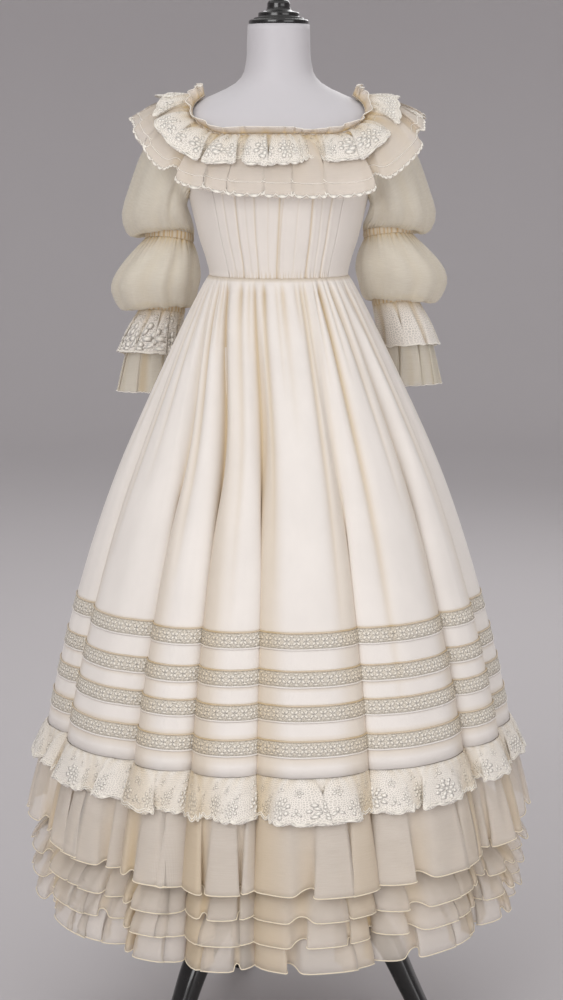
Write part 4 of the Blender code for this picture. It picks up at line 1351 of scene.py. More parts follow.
def lace_strip(cloth, slot, lace):
    """The pattern of the wide lace: flowers of two sizes, sprays between them and a scalloped edge."""
    starts, step = repeats(cloth.width, lace.repeat)
    deep = cloth.length
    parts = []
    parts += flower(cloth, starts, 0.25 * step, 0.62 * deep, 0.25 * deep, 6, slot)
    parts += flower(cloth, starts, 0.75 * step, 0.68 * deep, 0.20 * deep, 5, slot)
    parts += flower(cloth, starts, 0.52 * step, 0.28 * deep, 0.15 * deep, 5, slot, 1)
    parts += sprig(cloth, starts, 0.08 * step, 0.30 * deep, 0.24 * deep, -0.7, slot)
    parts += sprig(cloth, starts, 0.88 * step, 0.34 * deep, 0.22 * deep, 2.2, slot)
    parts += sprig(cloth, starts, 0.50 * step, 0.60 * deep, 0.22 * deep, 1.5, slot)
    return parts + scallops(cloth, lace.scallop, 0.22 * lace.scallop, 1.3 * MM, slot)


def insertion_strip(cloth, slot):
    """The pattern of the insertion lace: four-petalled flowers with a dot between them, edge to edge."""
    starts, step = repeats(cloth.width, INSERTION_REPEAT)
    middle = cloth.length / 2
    size = cloth.length
    parts = []
    for turn in (0.7, -0.7):
        for side in (-1, 1):
            u = step / 2 + side * 0.19 * size * math.cos(turn)
            v = middle + side * 0.22 * size * math.sin(turn)
            centres = np.stack([starts + u, np.full(len(starts), v)], axis=-1)
            parts.append(petals(cloth, centres, 0.20 * size, 0.11 * size, turn, 0.3 * MM, slot))
    for v in (0.14, 0.86):
        centres = np.stack([starts, np.full(len(starts), v * size)], axis=-1)
        parts.append(petals(cloth, centres, 0.22 * size, 0.07 * size, 0.0, 0.3 * MM, slot))
    return parts


# Pieces


def build_torso(material):
    """The form's ellipses from its neck to its base, drawn in a little over the last 6 mm."""
    heights = np.linspace(FORM[-1].height, FORM[0].height, FORM_ROWS)
    angles = ring_places(FORM_COLUMNS, 360.0)
    rings = form_point(angles[None, :], heights[:, None])
    middle = rings.mean(axis=1, keepdims=True)
    shrink = 1 - 0.10 * smoothstep(FORM[0].height + 0.006, FORM[0].height, heights) ** 3
    flat = np.array([1.0, 1.0, 0.0])
    rings = middle + (rings - middle) * (flat * shrink[:, None, None] + (1 - flat))
    piece = make_piece("torso", [loft(rings)], [material])
    stands_for("form_torso")


def turned_part(rows, base, centre_y, steps):
    """A solid of revolution: the table's rows with points between them, closed at both ends."""
    heights = np.array([row.height for row in rows])
    radii = np.array([row.radius for row in rows])
    at = np.linspace(0.0, len(rows) - 1, steps)
    height = np.interp(at, np.arange(len(rows)), heights)
    radius = np.interp(at, np.arange(len(rows)), radii)
    turn = ring_places(TURN_COLUMNS, 2 * math.pi)
    x = radius[:, None] * np.sin(turn)
    y = centre_y - radius[:, None] * np.cos(turn)
    z = np.broadcast_to((base + height)[:, None], x.shape)
    return loft(np.stack([x, y, z], axis=-1)[::-1])


def build_stand(material):
    """Cap, hub and pole as solids of revolution on the boxes of their nodes, and the three legs."""
    cap_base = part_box("neck_cap")[0][2]
    cap = make_piece("finial", [turned_part(CAP, cap_base, FORM[-1].shift, CAP_ROWS)], [material])
    stands_for("neck_cap")
    hub_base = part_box("stand_hub")[0][2]
    hub = make_piece("hub", [turned_part(HUB, hub_base, 0.0, HUB_ROWS)], [material])
    stands_for("stand_hub")
    low, high = POLE_BOX[0][2], POLE_BOX[1][2]
    radius = (POLE_BOX[1][0] - POLE_BOX[0][0]) / 2
    rows = (TurnRow(0.0, radius), TurnRow(high - low, radius))
    pole = make_piece("pole", [turned_part(rows, low, 0.0, POLE_ROWS)], [material])
    stands_for("stand_pole")
    for number, angle in enumerate(LEG_ANGLES, start=1):
        leg = make_piece(f"leg_{number}", [loft(leg_rings(math.radians(angle)))], [material])
        stands_for(f"stand_leg_{number}")


def leg_rings(turn):
    """Rounded square sections along a smooth curve through the leg's table, tilted by its lean."""
    outward = np.array([math.sin(turn), -math.cos(turn), 0.0])
    sideways = np.array([math.cos(turn), math.sin(turn), 0.0])
    table = spline(np.array(LEG, float), np.linspace(0.0, len(LEG) - 1, LEG_ROWS))
    around = ring_places(LEG_COLUMNS, 2 * math.pi)
    across = np.sign(np.cos(around)) * np.abs(np.cos(around)) ** LEG_SQUARENESS
    through = np.sign(np.sin(around)) * np.abs(np.sin(around)) ** LEG_SQUARENESS
    reach, height, width, depth, lean = table.T
    lean = np.radians(np.clip(lean, 0.0, 90.0))
    upward = np.cos(lean)[:, None] * UP + np.sin(lean)[:, None] * outward
    centre = reach[:, None] * outward + height[:, None] * UP
    ring = centre[:, None] + across[None, :, None] * sideways * width[:, None, None] / 2
    return ring + through[None, :, None] * upward[:, None] * depth[:, None, None] / 2


def bodice_panel(name, edges, count, material, pleated, flat):
    """The form's surface moved out by the cloth's clearance, less the valleys of its pleats.

    Each pleat is a bell-shaped valley with a lower and wider ridge beside it, along a leaning line.
    The lower edge swells out a little over the waist seam.
    """
    low_angle, high_angle = edges
    angles = np.linspace(low_angle, high_angle, count.columns)
    share = np.linspace(1.0, 0.0, count.rows)[:, None] ** 1.3
    heights = SEAM_GAP + share * (bodice_top(angles) - SEAM_GAP)
    clearance = BODICE_OUTER + BODICE_FLARE * smoothstep(0.006, 0.0, heights)
    # painted shade: a little over the whole panel, and more just above the waist seam
    shade = 0.08 + 0.35 * smoothstep(0.003, 0.0, heights)
    if pleated:
        reach = smooth_column(FORM, "half_width", heights)
        for pleat in PLEATS:
            line = pleat.waist_angle + (pleat.top_angle - pleat.waist_angle) * heights / NECK_FRONT
            swing = 0.8 * MM * np.sin(heights * 30 + pleat.top_angle)
            distance = np.radians(angles - line) * reach + swing
            half_width = pleat.half_width * MM
            valley = np.exp(-((distance / half_width) ** 2))
            core = np.exp(-((distance / (0.5 * half_width)) ** 2))
            ridge = np.exp(-(((distance - 2.2 * half_width) / (1.6 * half_width)) ** 2))
            clearance = clearance + pleat.depth * MM * (0.3 * ridge - 0.8 * valley)
            # painted shade in the pleats' valleys
            shade = shade + pleat.depth * (0.06 * valley + 0.22 * core)
        phase = wave_phases((angles - low_angle) / (high_angle - low_angle), SHIRRING_WAVES, 0.5, 5)
        fade = smoothstep(SHIRRING_HEIGHT, 0.003, heights) * per_wave(phase, SHIRRING_WAVES, 0.4, 1.0, 6)
        valley = crest(phase) ** 2
        clearance = clearance - SHIRRING_DEPTH * fade * valley
        # painted shade in the shirring's valleys
        shade = shade + 0.45 * fade * valley
    grid = lifted(angles[None, :], heights, clearance)
    return make_piece(name, [shell(grid, BODICE_WALL, False, flat, np.clip(shade, 0, 1))], [material])


def build_bodice(material):
    """The pleated front and the plain sides and backs, with a narrow gap at each seam."""
    edges = (-PANEL_EDGE + PANEL_SEAM, PANEL_EDGE - PANEL_SEAM)
    front = bodice_panel("bodice_front_panel", edges, FRONT_COUNT, material, True, (0.20, 0.21))
    stands_for("bodice_front")
    for label, sign in (("left", 1.0), ("right", -1.0)):
        for kind, low, high, flat in (
            ("side", PANEL_EDGE + PANEL_SEAM, 90.0 - PANEL_SEAM, (0.085, 0.18)),
            ("back", 90.0 + PANEL_SEAM, 180.0 - PANEL_SEAM, (0.175, 0.19)),
        ):
            edges = sorted((sign * low, sign * high))
            name = f"bodice_{kind}_{label}_panel"
            panel = bodice_panel(name, edges, PANEL_COUNT, material, False, flat)
            stands_for(f"bodice_{kind}_{label}")


def build_neck_edge(organza, thread):
    """The gathered channel with upright ridges, and the heading that flares from it in short waves.

    The heading is tallest over the shoulders. Its waves grow with its height and tip outwards.
    """
    columns, rows = CASING_COUNT
    angles = ring_places(columns, 360.0)
    share = angles / 360.0
    ridge = np.abs(np.sin(math.pi * wave_phases(share, CASING_RIDGES, 0.5, 21)))
    down = np.linspace(0.0, 1.0, rows)[:, None]
    heights = neckline(angles) + CASING_GAP + CASING_HEIGHT * (1 - down)
    swell_out = 1.3 * MM * np.sin(math.pi * down) * ridge + 0.2 * MM
    grid = lifted(np.broadcast_to(angles, heights.shape), heights, BODICE_OUTER + swell_out)
    # painted shade between the ridges, and a little over the whole casing
    shade = 0.65 * (1 - ridge) ** 1.5 + 0.15
    casing = make_piece("casing", [shell(grid, SHEER_WALL, True, (0.95, 0.011), shade)], [organza])
    stands_for("neck_casing")

    columns, rows = FRILL_COUNT
    angles = ring_places(columns, 360.0)
    share = angles / 360.0
    waves = FRILL_WAVES
    phase = wave_phases(share, waves, 0.75, 22)
    rise = np.linspace(1.0, 0.0, rows)[:, None]
    foot = neckline(angles) + CASING_GAP + CASING_HEIGHT - 0.5 * MM
    base = lifted(angles, foot, np.full(columns, BODICE_OUTER + 1.1 * MM))
    shoulder = smoothstep(45.0, 80.0, 90.0 - np.abs(90.0 - folded_angle(angles)))
    tall = FRILL_HEIGHT * (0.50 + 0.45 * shoulder) * per_wave(phase, waves, 0.6, 1.3, 23)
    flare = (5.0 + 5.0 * per_wave(phase, waves, 0.0, 1.0, 25) + 2.0 * swell(share, 26)) * MM
    grid = base + UP * (tall * rise)[..., None] + flat_outward(angles) * (flare * rise**1.2)[..., None]
    grid = waved(grid, 3.4 * MM * rise**0.7, 2.8 * MM * rise, phase, 24, waves)
    trough = ruffle(phase, waves, 24)[2]
    # painted shade at the frill's foot and in the ruffle's troughs
    shade = 0.7 * (1 - rise) ** 2 + 0.35 * trough * (1 - 0.5 * rise)
    part, _ = ring_cloth(grid[::-1], shade[::-1], SHEER_WALL)
    frill = make_piece("frill", [part, ring_cord(grid[0], 0.6 * MM, 1)], [organza, thread])
    stands_for("neck_frill")


def tier_grid(tier, columns, rows, phases, waves, depth, seed):
    """A tier of the collar: out as share ** reach, down as share ** fall, with a ruffle that grows.

    The troughs are drawn in and up, as short of cloth as the crests are full.
    """
    angles = ring_places(columns, 360.0)
    side = np.abs(np.sin(np.radians(angles))) ** TIER_SIDE_SHARPNESS
    start = lifted(angles, neckline(angles) + tier.start, np.full(columns, BODICE_OUTER + tier.lift))
    out_step, along_step, trough = ruffle(phases, waves, seed)
    length = 1 + 0.05 * swell(angles / 360.0, seed + 1)
    length = length + 0.09 * per_wave(phases, waves, -1.0, 1.0, seed + 2)
    out = (tier.front_out + (tier.side_out - tier.front_out) * side) * length * (1 - 0.10 * trough)
    drop = (tier.front_drop + (tier.side_drop - tier.front_drop) * side) * length * (1 - 0.22 * trough)
    t = np.linspace(0.0, 1.0, rows)[:, None]
    grid = start + flat_outward(angles) * (out * t**TIER_REACH)[..., None]
    grid = grid - UP * (drop * t**TIER_FALL)[..., None]
    along = unit(np.roll(grid, -1, axis=1) - np.roll(grid, 1, axis=1))
    grow = np.clip(t * 1.15, 0.0, 1.0) ** 0.75
    spread = ring_length(grid[-1]) / waves
    moved = grid_normals(grid, True) * (depth * grow * out_step)[..., None]
    grid = grid + moved + along * (COLLAR_OVERLAP * spread * grow * along_step)[..., None]
    fine = crest(wave_phases(angles / 360.0, COLLAR_GATHERS, 0.6, seed + 3))
    fine = fine * np.exp(-t / (0.30 + 0.12 * np.sin(9 * np.radians(angles))))
    grid = grid - grid_normals(grid, True) * (1.7 * MM * fine)[..., None]
    # painted shade near the neck, in the fine gathers and in the ruffle's troughs
    return grid, 0.35 * (1 - t) ** 3 + 0.55 * fine + 0.55 * trough * (1 - 0.4 * t)


def build_collar(net, organza, thread):
    """The lace tier over the sheer one, which has more and shallower waves and a stitched tuck."""
    sizes, _ = settings()
    waves = sizes.collar_waves
    phases = wave_phases(ring_places(LACE_TIER_COUNT.columns), waves, 0.6, 31)
    grid, shade = tier_grid(LACE_TIER, *LACE_TIER_COUNT, phases, waves, sizes.collar_depth, 32)
    part, cloth = ring_cloth(scalloped(grid, COLLAR_LACE), shade, LACE_WALL)
    piece = make_piece("collar_lace", [part] + lace_strip(cloth, 1, COLLAR_LACE), [net, thread])
    stands_for("collar_lace_tier")

    waves += 5
    depth = 0.7 * sizes.collar_depth
    phases = wave_phases(ring_places(SHEER_TIER_COUNT.columns), waves, 0.7, 35)
    grid, shade = tier_grid(SHEER_TIER, *SHEER_TIER_COUNT, phases, waves, depth, 33)
    part, cloth = ring_cloth(grid, shade, SHEER_WALL)
    parts = [part] + scallops(cloth, 8.5 * MM, 3.4 * MM, 1.5 * MM, 1, lines=1, per_arc=5)
    u = ring_places(COLLAR_TUCK_POINTS, cloth.width)
    v = np.full(len(u), cloth.length - COLLAR_TUCK_RISE)
    parts.append(ring_cord(on_cloth(cloth, u, v, np.full(len(u), 0.4 * MM)), 0.5 * MM, 1))
    piece = make_piece("collar_sheer", parts, [organza, thread])
    stands_for("collar_sheer_tier")


def armhole_loop(around):
    """The sleeve's first ring: on the neckline above, and on the armhole's curve below."""
    angles = 90.0 - ARMHOLE_HALF * np.sin(around)
    heights = np.where(np.cos(around) >= 0, neckline(angles), bodice_top(angles))
    return lifted(angles, heights, ARMHOLE_LIFT + 1.5 * MM * (1 + np.cos(around)) / 2)


def sleeve_ring(row, around):
    """A tilted ellipse between the ring's outer and inner points."""
    outer = np.array([row.outer_x, row.y, WAIST + row.outer_z])
    inner = np.array([row.inner_x, row.y, WAIST + row.inner_z])
    deep = np.array([0.0, -row.half_deep, row.front_lift])
    reach = (outer - inner) / 2
    return (outer + inner) / 2 + np.cos(around)[:, None] * reach + np.sin(around)[:, None] * deep


def sleeve_grid(rows, count, columns, from_armhole):
    """A smooth surface through the sleeve's rings, with its own rows closer together at both ends."""
    around = ring_places(columns, 2 * math.pi)
    rings = [sleeve_ring(row, around) for row in rows]
    if from_armhole:
        rings.insert(0, armhole_loop(around))
    rings = np.array(rings)
    share = np.linspace(0.0, 1.0, count)
    share = share - 0.11 * np.sin(2 * math.pi * share)
    if len(rings) == 2:
        return rings[0] + (rings[1] - rings[0]) * share[:, None, None], share[:, None]
    steps = np.linalg.norm(np.diff(rings, axis=0), axis=-1).mean(axis=1)
    run = np.concatenate([[0.0], np.cumsum(steps)])
    places = np.interp(share * run[-1], run, np.arange(len(rings)))
    return spline(rings, places), share[:, None]


def hung(grid, sign):
    """The sleeve on its own side, a little higher on the left and lower on the right."""
    moved = grid.copy()
    fall = np.clip((WAIST + UNDERARM - moved[..., 2]) / UNDERARM, 0.0, 1.0)
    moved[..., 2] += sign * SIDE_DROP * fall
    moved[..., 0] *= sign
    return moved


def puff(rows, count, columns, from_armhole, seed):
    """A gathered puff: fine gathers that fade away from both bands, and soft uneven folds between."""
    grid, down = sleeve_grid(rows, count, columns, from_armhole)
    share = ring_places(columns)
    phase = wave_phases(share, PUFF_GATHERS, 0.6, seed)
    strength = per_wave(phase, PUFF_GATHERS, 0.4, 1.4, seed + 1)
    valley = crest(phase) ** 2
    gathers = np.exp(-down / 0.13) + np.exp(-(1 - down) / 0.13)
    near_bands = np.exp(-down / 0.045) + np.exp(-(1 - down) / 0.055)
    soft = wave_phases(share, PUFF_FOLDS, 0.5, seed + 2)
    folds = np.cos(2 * math.pi * (soft + 0.35 * np.sin(math.pi * down)))
    folds = folds * per_wave(soft, PUFF_FOLDS, 0.3, 1.0, seed + 3) * np.sin(math.pi * down) ** 0.7
    inset = 2.6 * MM * strength * valley * gathers + 3.2 * MM * folds
    grid = grid - oriented(grid) * inset[..., None]
    # painted shade in the gathers, close to both bands and in the valleys of the soft folds
    shade = 0.75 * valley * strength * gathers**2 + 0.45 * near_bands + 0.12 * np.clip(folds, 0.0, 1.0)
    return grid, np.clip(shade, 0.0, 1.0)


def cuff(rows, count, columns, seed, depth, waves):
    """A flared cuff with a ruffle that grows towards its edge and fine gathers under the band."""
    grid, down = sleeve_grid(rows, count, columns, False)
    share = ring_places(columns)
    phase = wave_phases(share, waves, 0.6, seed)
    out, sideways, trough = ruffle(phase, waves, seed + 1)
    normals = oriented(grid)
    along = unit(np.roll(grid, -1, axis=1) - np.roll(grid, 1, axis=1))
    grow = down**0.8
    grid = grid + normals * (depth * grow * out)[..., None]
    grid = grid + along * (WAVE_OVERLAP * ring_length(grid[-1]) / waves * grow * sideways)[..., None]
    fine = crest(wave_phases(share, CUFF_GATHERS, 0.5, seed + 2))
    grid = grid - normals * (1.1 * MM * np.exp(-down / 0.12) * fine)[..., None]
    # painted shade under the band and in the ruffle's troughs
    return grid, np.clip(0.6 * np.exp(-down / 0.10) + 0.45 * trough, 0.0, 1.0)


def sleeve_band(rows, columns, seed):
    """A narrow elastic band: upright ridges between two edges that are drawn in."""
    grid, down = sleeve_grid(rows, SLEEVE_BAND_COUNT.rows, columns, False)
    share = ring_places(columns)
    ridge = np.abs(np.sin(math.pi * wave_phases(share, BAND_RIDGES, 0.55, seed)))
    outward = unit(grid - grid.mean(axis=1, keepdims=True))
    puffed = 1.3 * MM * ridge * np.sin(math.pi * down) - 0.6 * MM
    # painted shade between the ridges, in the gold of the bands, and a little over their whole width
    shade = 0.25 + 0.75 * (1 - ridge) ** 1.4
    return grid + outward * puffed[..., None], shade


def build_sleeves(organza, elastic, net, thread):
    """Tubes through the sleeve's rings: two puffs, two bands, and the lace cuff over the sheer one."""
    columns = PUFF_COUNT.columns
    for number, (label, sign) in enumerate((("left", 1.0), ("right", -1.0))):
        seed = 50 + 30 * number
        for kind, rows, from_armhole, flat in (
            ("puff_upper", SLEEVE_UPPER, True, (0.48, 0.165)),
            ("puff_lower", SLEEVE_LOWER, False, (0.46, 0.135)),
        ):
            grid, shade = puff(rows, PUFF_COUNT.rows, columns, from_armhole, seed)
            part = shell(hung(grid, sign), SHEER_WALL, True, flat, shade)
            piece = make_piece(f"{kind}_{label}", [part], [organza])
            stands_for(f"sleeve_{label}_{kind}")
            seed += 5
        for kind, rows in (("band_upper", BAND_UPPER), ("band_lower", BAND_LOWER)):
            grid, shade = sleeve_band(rows, columns, seed)
            part = shell(hung(grid, sign), SHEER_WALL, True, (0.24, 0.011), shade)
            piece = make_piece(f"{kind}_{label}", [part], [elastic])
            stands_for(f"sleeve_{label}_{kind}")
            seed += 5
        grid, shade = cuff(CUFF_LACE, CUFF_LACE_COUNT.rows, columns, seed, 4.0 * MM, CUFF_LACE_WAVES)
        part, cloth = ring_cloth(scalloped(hung(grid, sign), WRIST_LACE), shade, LACE_WALL)
        parts = [part] + lace_strip(cloth, 1, WRIST_LACE)
        piece = make_piece(f"cuff_lace_{label}", parts, [net, thread])
        stands_for(f"sleeve_{label}_cuff_lace")
        seed += 5
        grid, shade = cuff(CUFF_SHEER, CUFF_SHEER_COUNT.rows, columns, seed, 3.6 * MM, CUFF_SHEER_WAVES)
        part, cloth = ring_cloth(hung(grid, sign), shade, SHEER_WALL)
        parts = [part] + scallops(cloth, 8.5 * MM, 3.0 * MM, 1.4 * MM, 1, lines=1, per_arc=5)
        piece = make_piece(f"cuff_sheer_{label}", parts, [organza, thread])
        stands_for(f"sleeve_{label}_cuff_sheer")


def oriented(grid):
    """Normals of a tube that point away from its middle."""
    normals = grid_normals(grid, True)
    outward = np.sum((grid - grid.mean(axis=1, keepdims=True)) * normals)
    return normals if outward > 0 else -normals


def build_skirt(material):
    """The skirt's rings, closer together near the waist, where its top turns in over the seam."""
    columns = fold_columns(SKIRT_DENSITY)
    down = np.linspace(0.0, 1.0, SKIRT_ROWS) ** 1.2
    heights = (SKIRT_TOP - (SKIRT_TOP - SKIRT_BOTTOM) * down).tolist()
    for centre in BAND_CENTRES:
        heights += [centre + BAND_HEIGHT / 2, centre - BAND_HEIGHT / 2]
    heights = np.array(sorted(set(heights), reverse=True))
    turned_in = -1.9 * MM * smoothstep(SKIRT_TOP - 0.008, SKIRT_TOP, heights)
    heights[0] += 1.0 * MM
    grid, shade = skirt_grid(columns, heights, turned_in[:, None])
    # painted shade on the lawn behind the lace bands, standing in for the dark inside of the skirt seen
    # through the net
    behind = np.zeros(len(heights))
    for centre in BAND_CENTRES:
        behind = np.maximum(behind, np.abs(heights - centre) <= BAND_HEIGHT / 2 + 1e-6)
    shade = np.maximum(shade, 0.45 * behind[:, None])
    # painted shade along the waist seam
    shade = np.maximum(shade, 0.5 * smoothstep(SKIRT_TOP - 0.003, SKIRT_TOP, heights)[:, None])
    split = columns[4][FRONT_FOLDS]
    count = grid.shape[1]
    for name, node, chosen, flat in (
        ("skirt_front_panel", "skirt_front", np.arange(0, split + 1), (1.30, 0.72)),
        ("skirt_back_panel", "skirt_back", np.arange(split, count + 1) % count, (1.12, 0.72)),
    ):
        piece_grid = grid[:, chosen].copy()
        for end, beside in ((0, 1), (-1, -2)):
            piece_grid[:, end] += unit(piece_grid[:, beside] - piece_grid[:, end]) * SEAM_GAP / 2
        part = shell(piece_grid, COTTON_WALL, False, flat, shade[:, chosen])
        piece = make_piece(name, [part], [material])
        stands_for(node)


def build_insertions(net, thread, cotton):
    """Net bands that follow the skirt's own rings, with a narrow tuck of lawn along both edges."""
    columns = fold_columns(SKIRT_DENSITY)
    for number, centre in enumerate(BAND_CENTRES, start=1):
        heights = np.linspace(centre + BAND_HEIGHT / 2, centre - BAND_HEIGHT / 2, 4)
        base, shade = skirt_grid(columns, heights, 0.0)
        grid = base + grid_normals(base, True) * BAND_LIFT
        width = ring_length(grid[0])
        even, even_shade = resampled(grid, shade, INSERTION_COLUMNS)
        # painted shade on the lace motif: the skirt's shade under it and a little more
        tint = np.clip(even_shade + 0.15, 0.0, 1.0)
        cloth = Cloth(even, grid_normals(even, True), width, BAND_HEIGHT, tint)
        parts = [shell(grid, 0.4 * MM, True, (width, BAND_HEIGHT), shade)] + insertion_strip(cloth, 1)
        for edge in (centre + BAND_HEIGHT / 2, centre - BAND_HEIGHT / 2 - TUCK_HEIGHT):
            rows = np.linspace(edge + TUCK_HEIGHT, edge, 3)
            base, shade = skirt_grid(columns, rows, 0.0)
            out = TUCK_LIFT + 0.9 * MM * np.array([[0.0], [1.0], [0.0]])
            tuck = base + grid_normals(base, True) * out[..., None]
            # painted shade: a shadow line on the upper tuck, and less shade on the lower one so that it
            # reads as a lit edge
            tint = np.clip(shade + (0.7 if edge > centre else -0.1), 0.0, 1.0)
            parts.append(shell(tuck, 0.5 * MM, True, (width, TUCK_HEIGHT), tint, slot=2))
        piece = make_piece(f"insertion_{number}", parts, [net, thread, cotton])
        stands_for(f"insertion_lace_{number}")


def resampled(grid, shade, count):
    """The grid's columns and their shade at even steps along its first row."""
    run = ring_run(grid[0])
    at = np.interp(ring_places(count, run[-1]), run, np.arange(len(run)))
    low = np.floor(at).astype(int)
    share = (at - low)[:, None]
    wrapped = np.concatenate([grid, grid[:, :1]], axis=1)
    return wrapped[:, low] * (1 - share) + wrapped[:, low + 1] * share, shade[:, low % shade.shape[1]]


def build_hem_lace(net, thread):
    """The skirt's rings below its edge, moved out by a power of the way down, with a ruffle."""
    sizes, _ = settings()
    count, rows = HEM_LACE_COUNT
    columns = even_columns(count)
    share = ring_places(count)
    t = np.linspace(0.0, 1.0, rows)[:, None]
    heights = LACE_FLOUNCE_TOP + (LACE_FLOUNCE_BOTTOM - LACE_FLOUNCE_TOP) * t[:, 0]
    grid, fold = skirt_grid(columns, heights, 0.0015 + 0.0095 * t**0.7, 0.9)
    waves = sizes.lace_waves
    phases = wave_phases(share, waves, 0.7, 61)
    grow = t**0.6
    calm = grow * (1 - 0.5 * np.clip(columns[2], 0.0, 1.0))
    side = WAVE_OVERLAP * ring_length(grid[-1]) / waves * calm
    grid = waved(grid, sizes.lace_depth * calm, side, phases, 62, waves)
    gather = crest(wave_phases(share, HEM_GATHERS, 0.5, 63)) * np.exp(-t / 0.18)
    grid = grid - grid_normals(grid, True) * (1.0 * MM * gather)[..., None]
    rise = 0.4 * hem_rise(columns, share, phases, waves, 64) + side_rise(columns, 0.010)
    grid[..., 2] += rise * t
    # painted shade from the skirt's folds, the ruffle's troughs and the gathers
    shade = fold + 0.35 * ruffle(phases, waves, 62)[2] * grow + 0.3 * gather
    part, cloth = ring_cloth(scalloped(grid, HEM_LACE), shade, LACE_WALL)
    piece = make_piece("hem_lace", [part] + lace_strip(cloth, 1, HEM_LACE), [net, thread])
    stands_for("hem_lace_flounce")


def sheer_ring_waves(share, sizes):
    return wave_phases(share, sizes.sheer_waves, 0.7, 71)


def build_hem_sheer(organza, hem):
    """Rings that start inside the skirt's edge and swing out past it, with a ruffle that grows."""
    sizes, _ = settings()
    count, rows = HEM_SHEER_COUNT
    waves = sizes.sheer_waves
    columns = even_columns(count)
    share = ring_places(count)
    t = np.linspace(0.0, 1.0, rows)[:, None]
    heights = SHEER_FLOUNCE_TOP + (SHEER_FLOUNCE_BOTTOM - SHEER_FLOUNCE_TOP) * t[:, 0]
    grid, fold = skirt_grid(columns, heights, -0.0042 + 0.0102 * t**0.9, 0.9)
    phases = sheer_ring_waves(share, sizes)
    calm = t**0.9 * (1 - 0.5 * np.clip(columns[2], 0.0, 1.0))
    side = WAVE_OVERLAP * ring_length(grid[-1]) / waves * calm
    grid = waved(grid, sizes.sheer_depth * calm, side, phases, 72, waves)
    grid[..., 2] += (hem_rise(columns, share, phases, waves, 73) + side_rise(columns, 0.020)) * t**1.5
    # painted shade from the skirt's folds and the ruffle's troughs
    shade = 0.9 * fold + 0.35 * ruffle(phases, waves, 72)[2] * t
    part, _ = ring_cloth(grid, shade, SHEER_WALL)
    piece = make_piece("hem_sheer", [part, ring_cord(grid[-1], HEM_CORD_RADIUS, 1)], [organza, hem])
    stands_for("hem_sheer_flounce")


def underskirt_inset(height):
    order = sorted(UNDERSKIRT, key=lambda row: row.height)
    return np.interp(height, [row.height for row in order], [row.inset for row in order])


def build_under_tiers(organza, hem):
    """Tiers that leave the underskirt as plain rings and reach the skirt's folds at their hems."""
    sizes, _ = settings()
    count, rows = UNDER_TIER_COUNT
    waves = sizes.sheer_waves
    columns = even_columns(count)
    share = ring_places(count)
    phases = sheer_ring_waves(share, sizes)
    t = np.linspace(0.0, 1.0, rows)[:, None]
    plain_columns = [columns[0]] + [np.zeros(count)] * 3
    for number, tier in enumerate(UNDER_TIERS, start=1):
        seat = underskirt_inset(tier.top) - UNDER_TIER_SEAT - UNDER_TIER_WALL
        ease = smoothstep(0.0, 1.0, t**0.75)
        level = np.ones(len(t))
        inner, _ = skirt_grid(plain_columns, level * tier.top, -seat, 0.0)
        outer, fold = skirt_grid(columns, level * tier.bottom, tier.offset, 0.8)
        grid = inner * (1 - ease[..., None]) + outer * ease[..., None]
        grid[..., 2] = tier.top + (tier.bottom - tier.top) * t
        calm = ease * (1 - 0.4 * np.clip(columns[2], 0.0, 1.0))
        side = WAVE_OVERLAP * ring_length(grid[-1]) / waves * calm
        shifted = phases + 0.04 * number
        grid = waved(grid, (sizes.sheer_depth - 1.0 * MM) * calm, side, shifted, 72 + number, waves)
        rise = hem_rise(columns, share, shifted, waves, 80 + number) + side_rise(columns, 0.008)
        grid[..., 2] += rise * t**2
        # painted shade from the skirt's folds, the ruffle's troughs and more towards the top
        shade = 0.9 * fold * ease + 0.35 * ruffle(shifted, waves, 72 + number)[2] + 0.2 * (1 - t)
        part, _ = ring_cloth(grid, shade, SHEER_WALL)
        cord = ring_cord(grid[-1], HEM_CORD_RADIUS, 1)
        piece = make_piece(f"tier_{number}", [part, cord], [organza, hem])
        stands_for(f"under_tier_{number}")


def build_underskirt(material):
    """The skirt's outline without its folds, drawn in by an inset that grows, down to the tiers."""
    angles = ring_places(UNDERSKIRT_COUNT.columns, 360.0)
    heights = np.linspace(UNDERSKIRT[0].height, UNDERSKIRT[-1].height, UNDERSKIRT_COUNT.rows)
    inset = underskirt_inset(heights)[:, None]
    half_width = smooth_column(SKIRT, "half_width", heights)[:, None] - inset
    half_depth = smooth_column(SKIRT, "half_depth", heights)[:, None] - inset
    turn = np.radians(angles)[None, :]
    level = np.broadcast_to(heights[:, None], (len(heights), len(angles)))
    grid = np.stack([half_width * np.sin(turn), -half_depth * np.cos(turn), level], axis=-1)
    # painted shade over the whole underskirt, which lies inside the skirt
    shade = np.full(grid.shape[:2], 0.2)
    part = shell(grid, COTTON_WALL, True, (1.75, 0.79), shade)
    piece = make_piece("underskirt_cone", [part], [material])
    stands_for("underskirt_upper underskirt_lower")


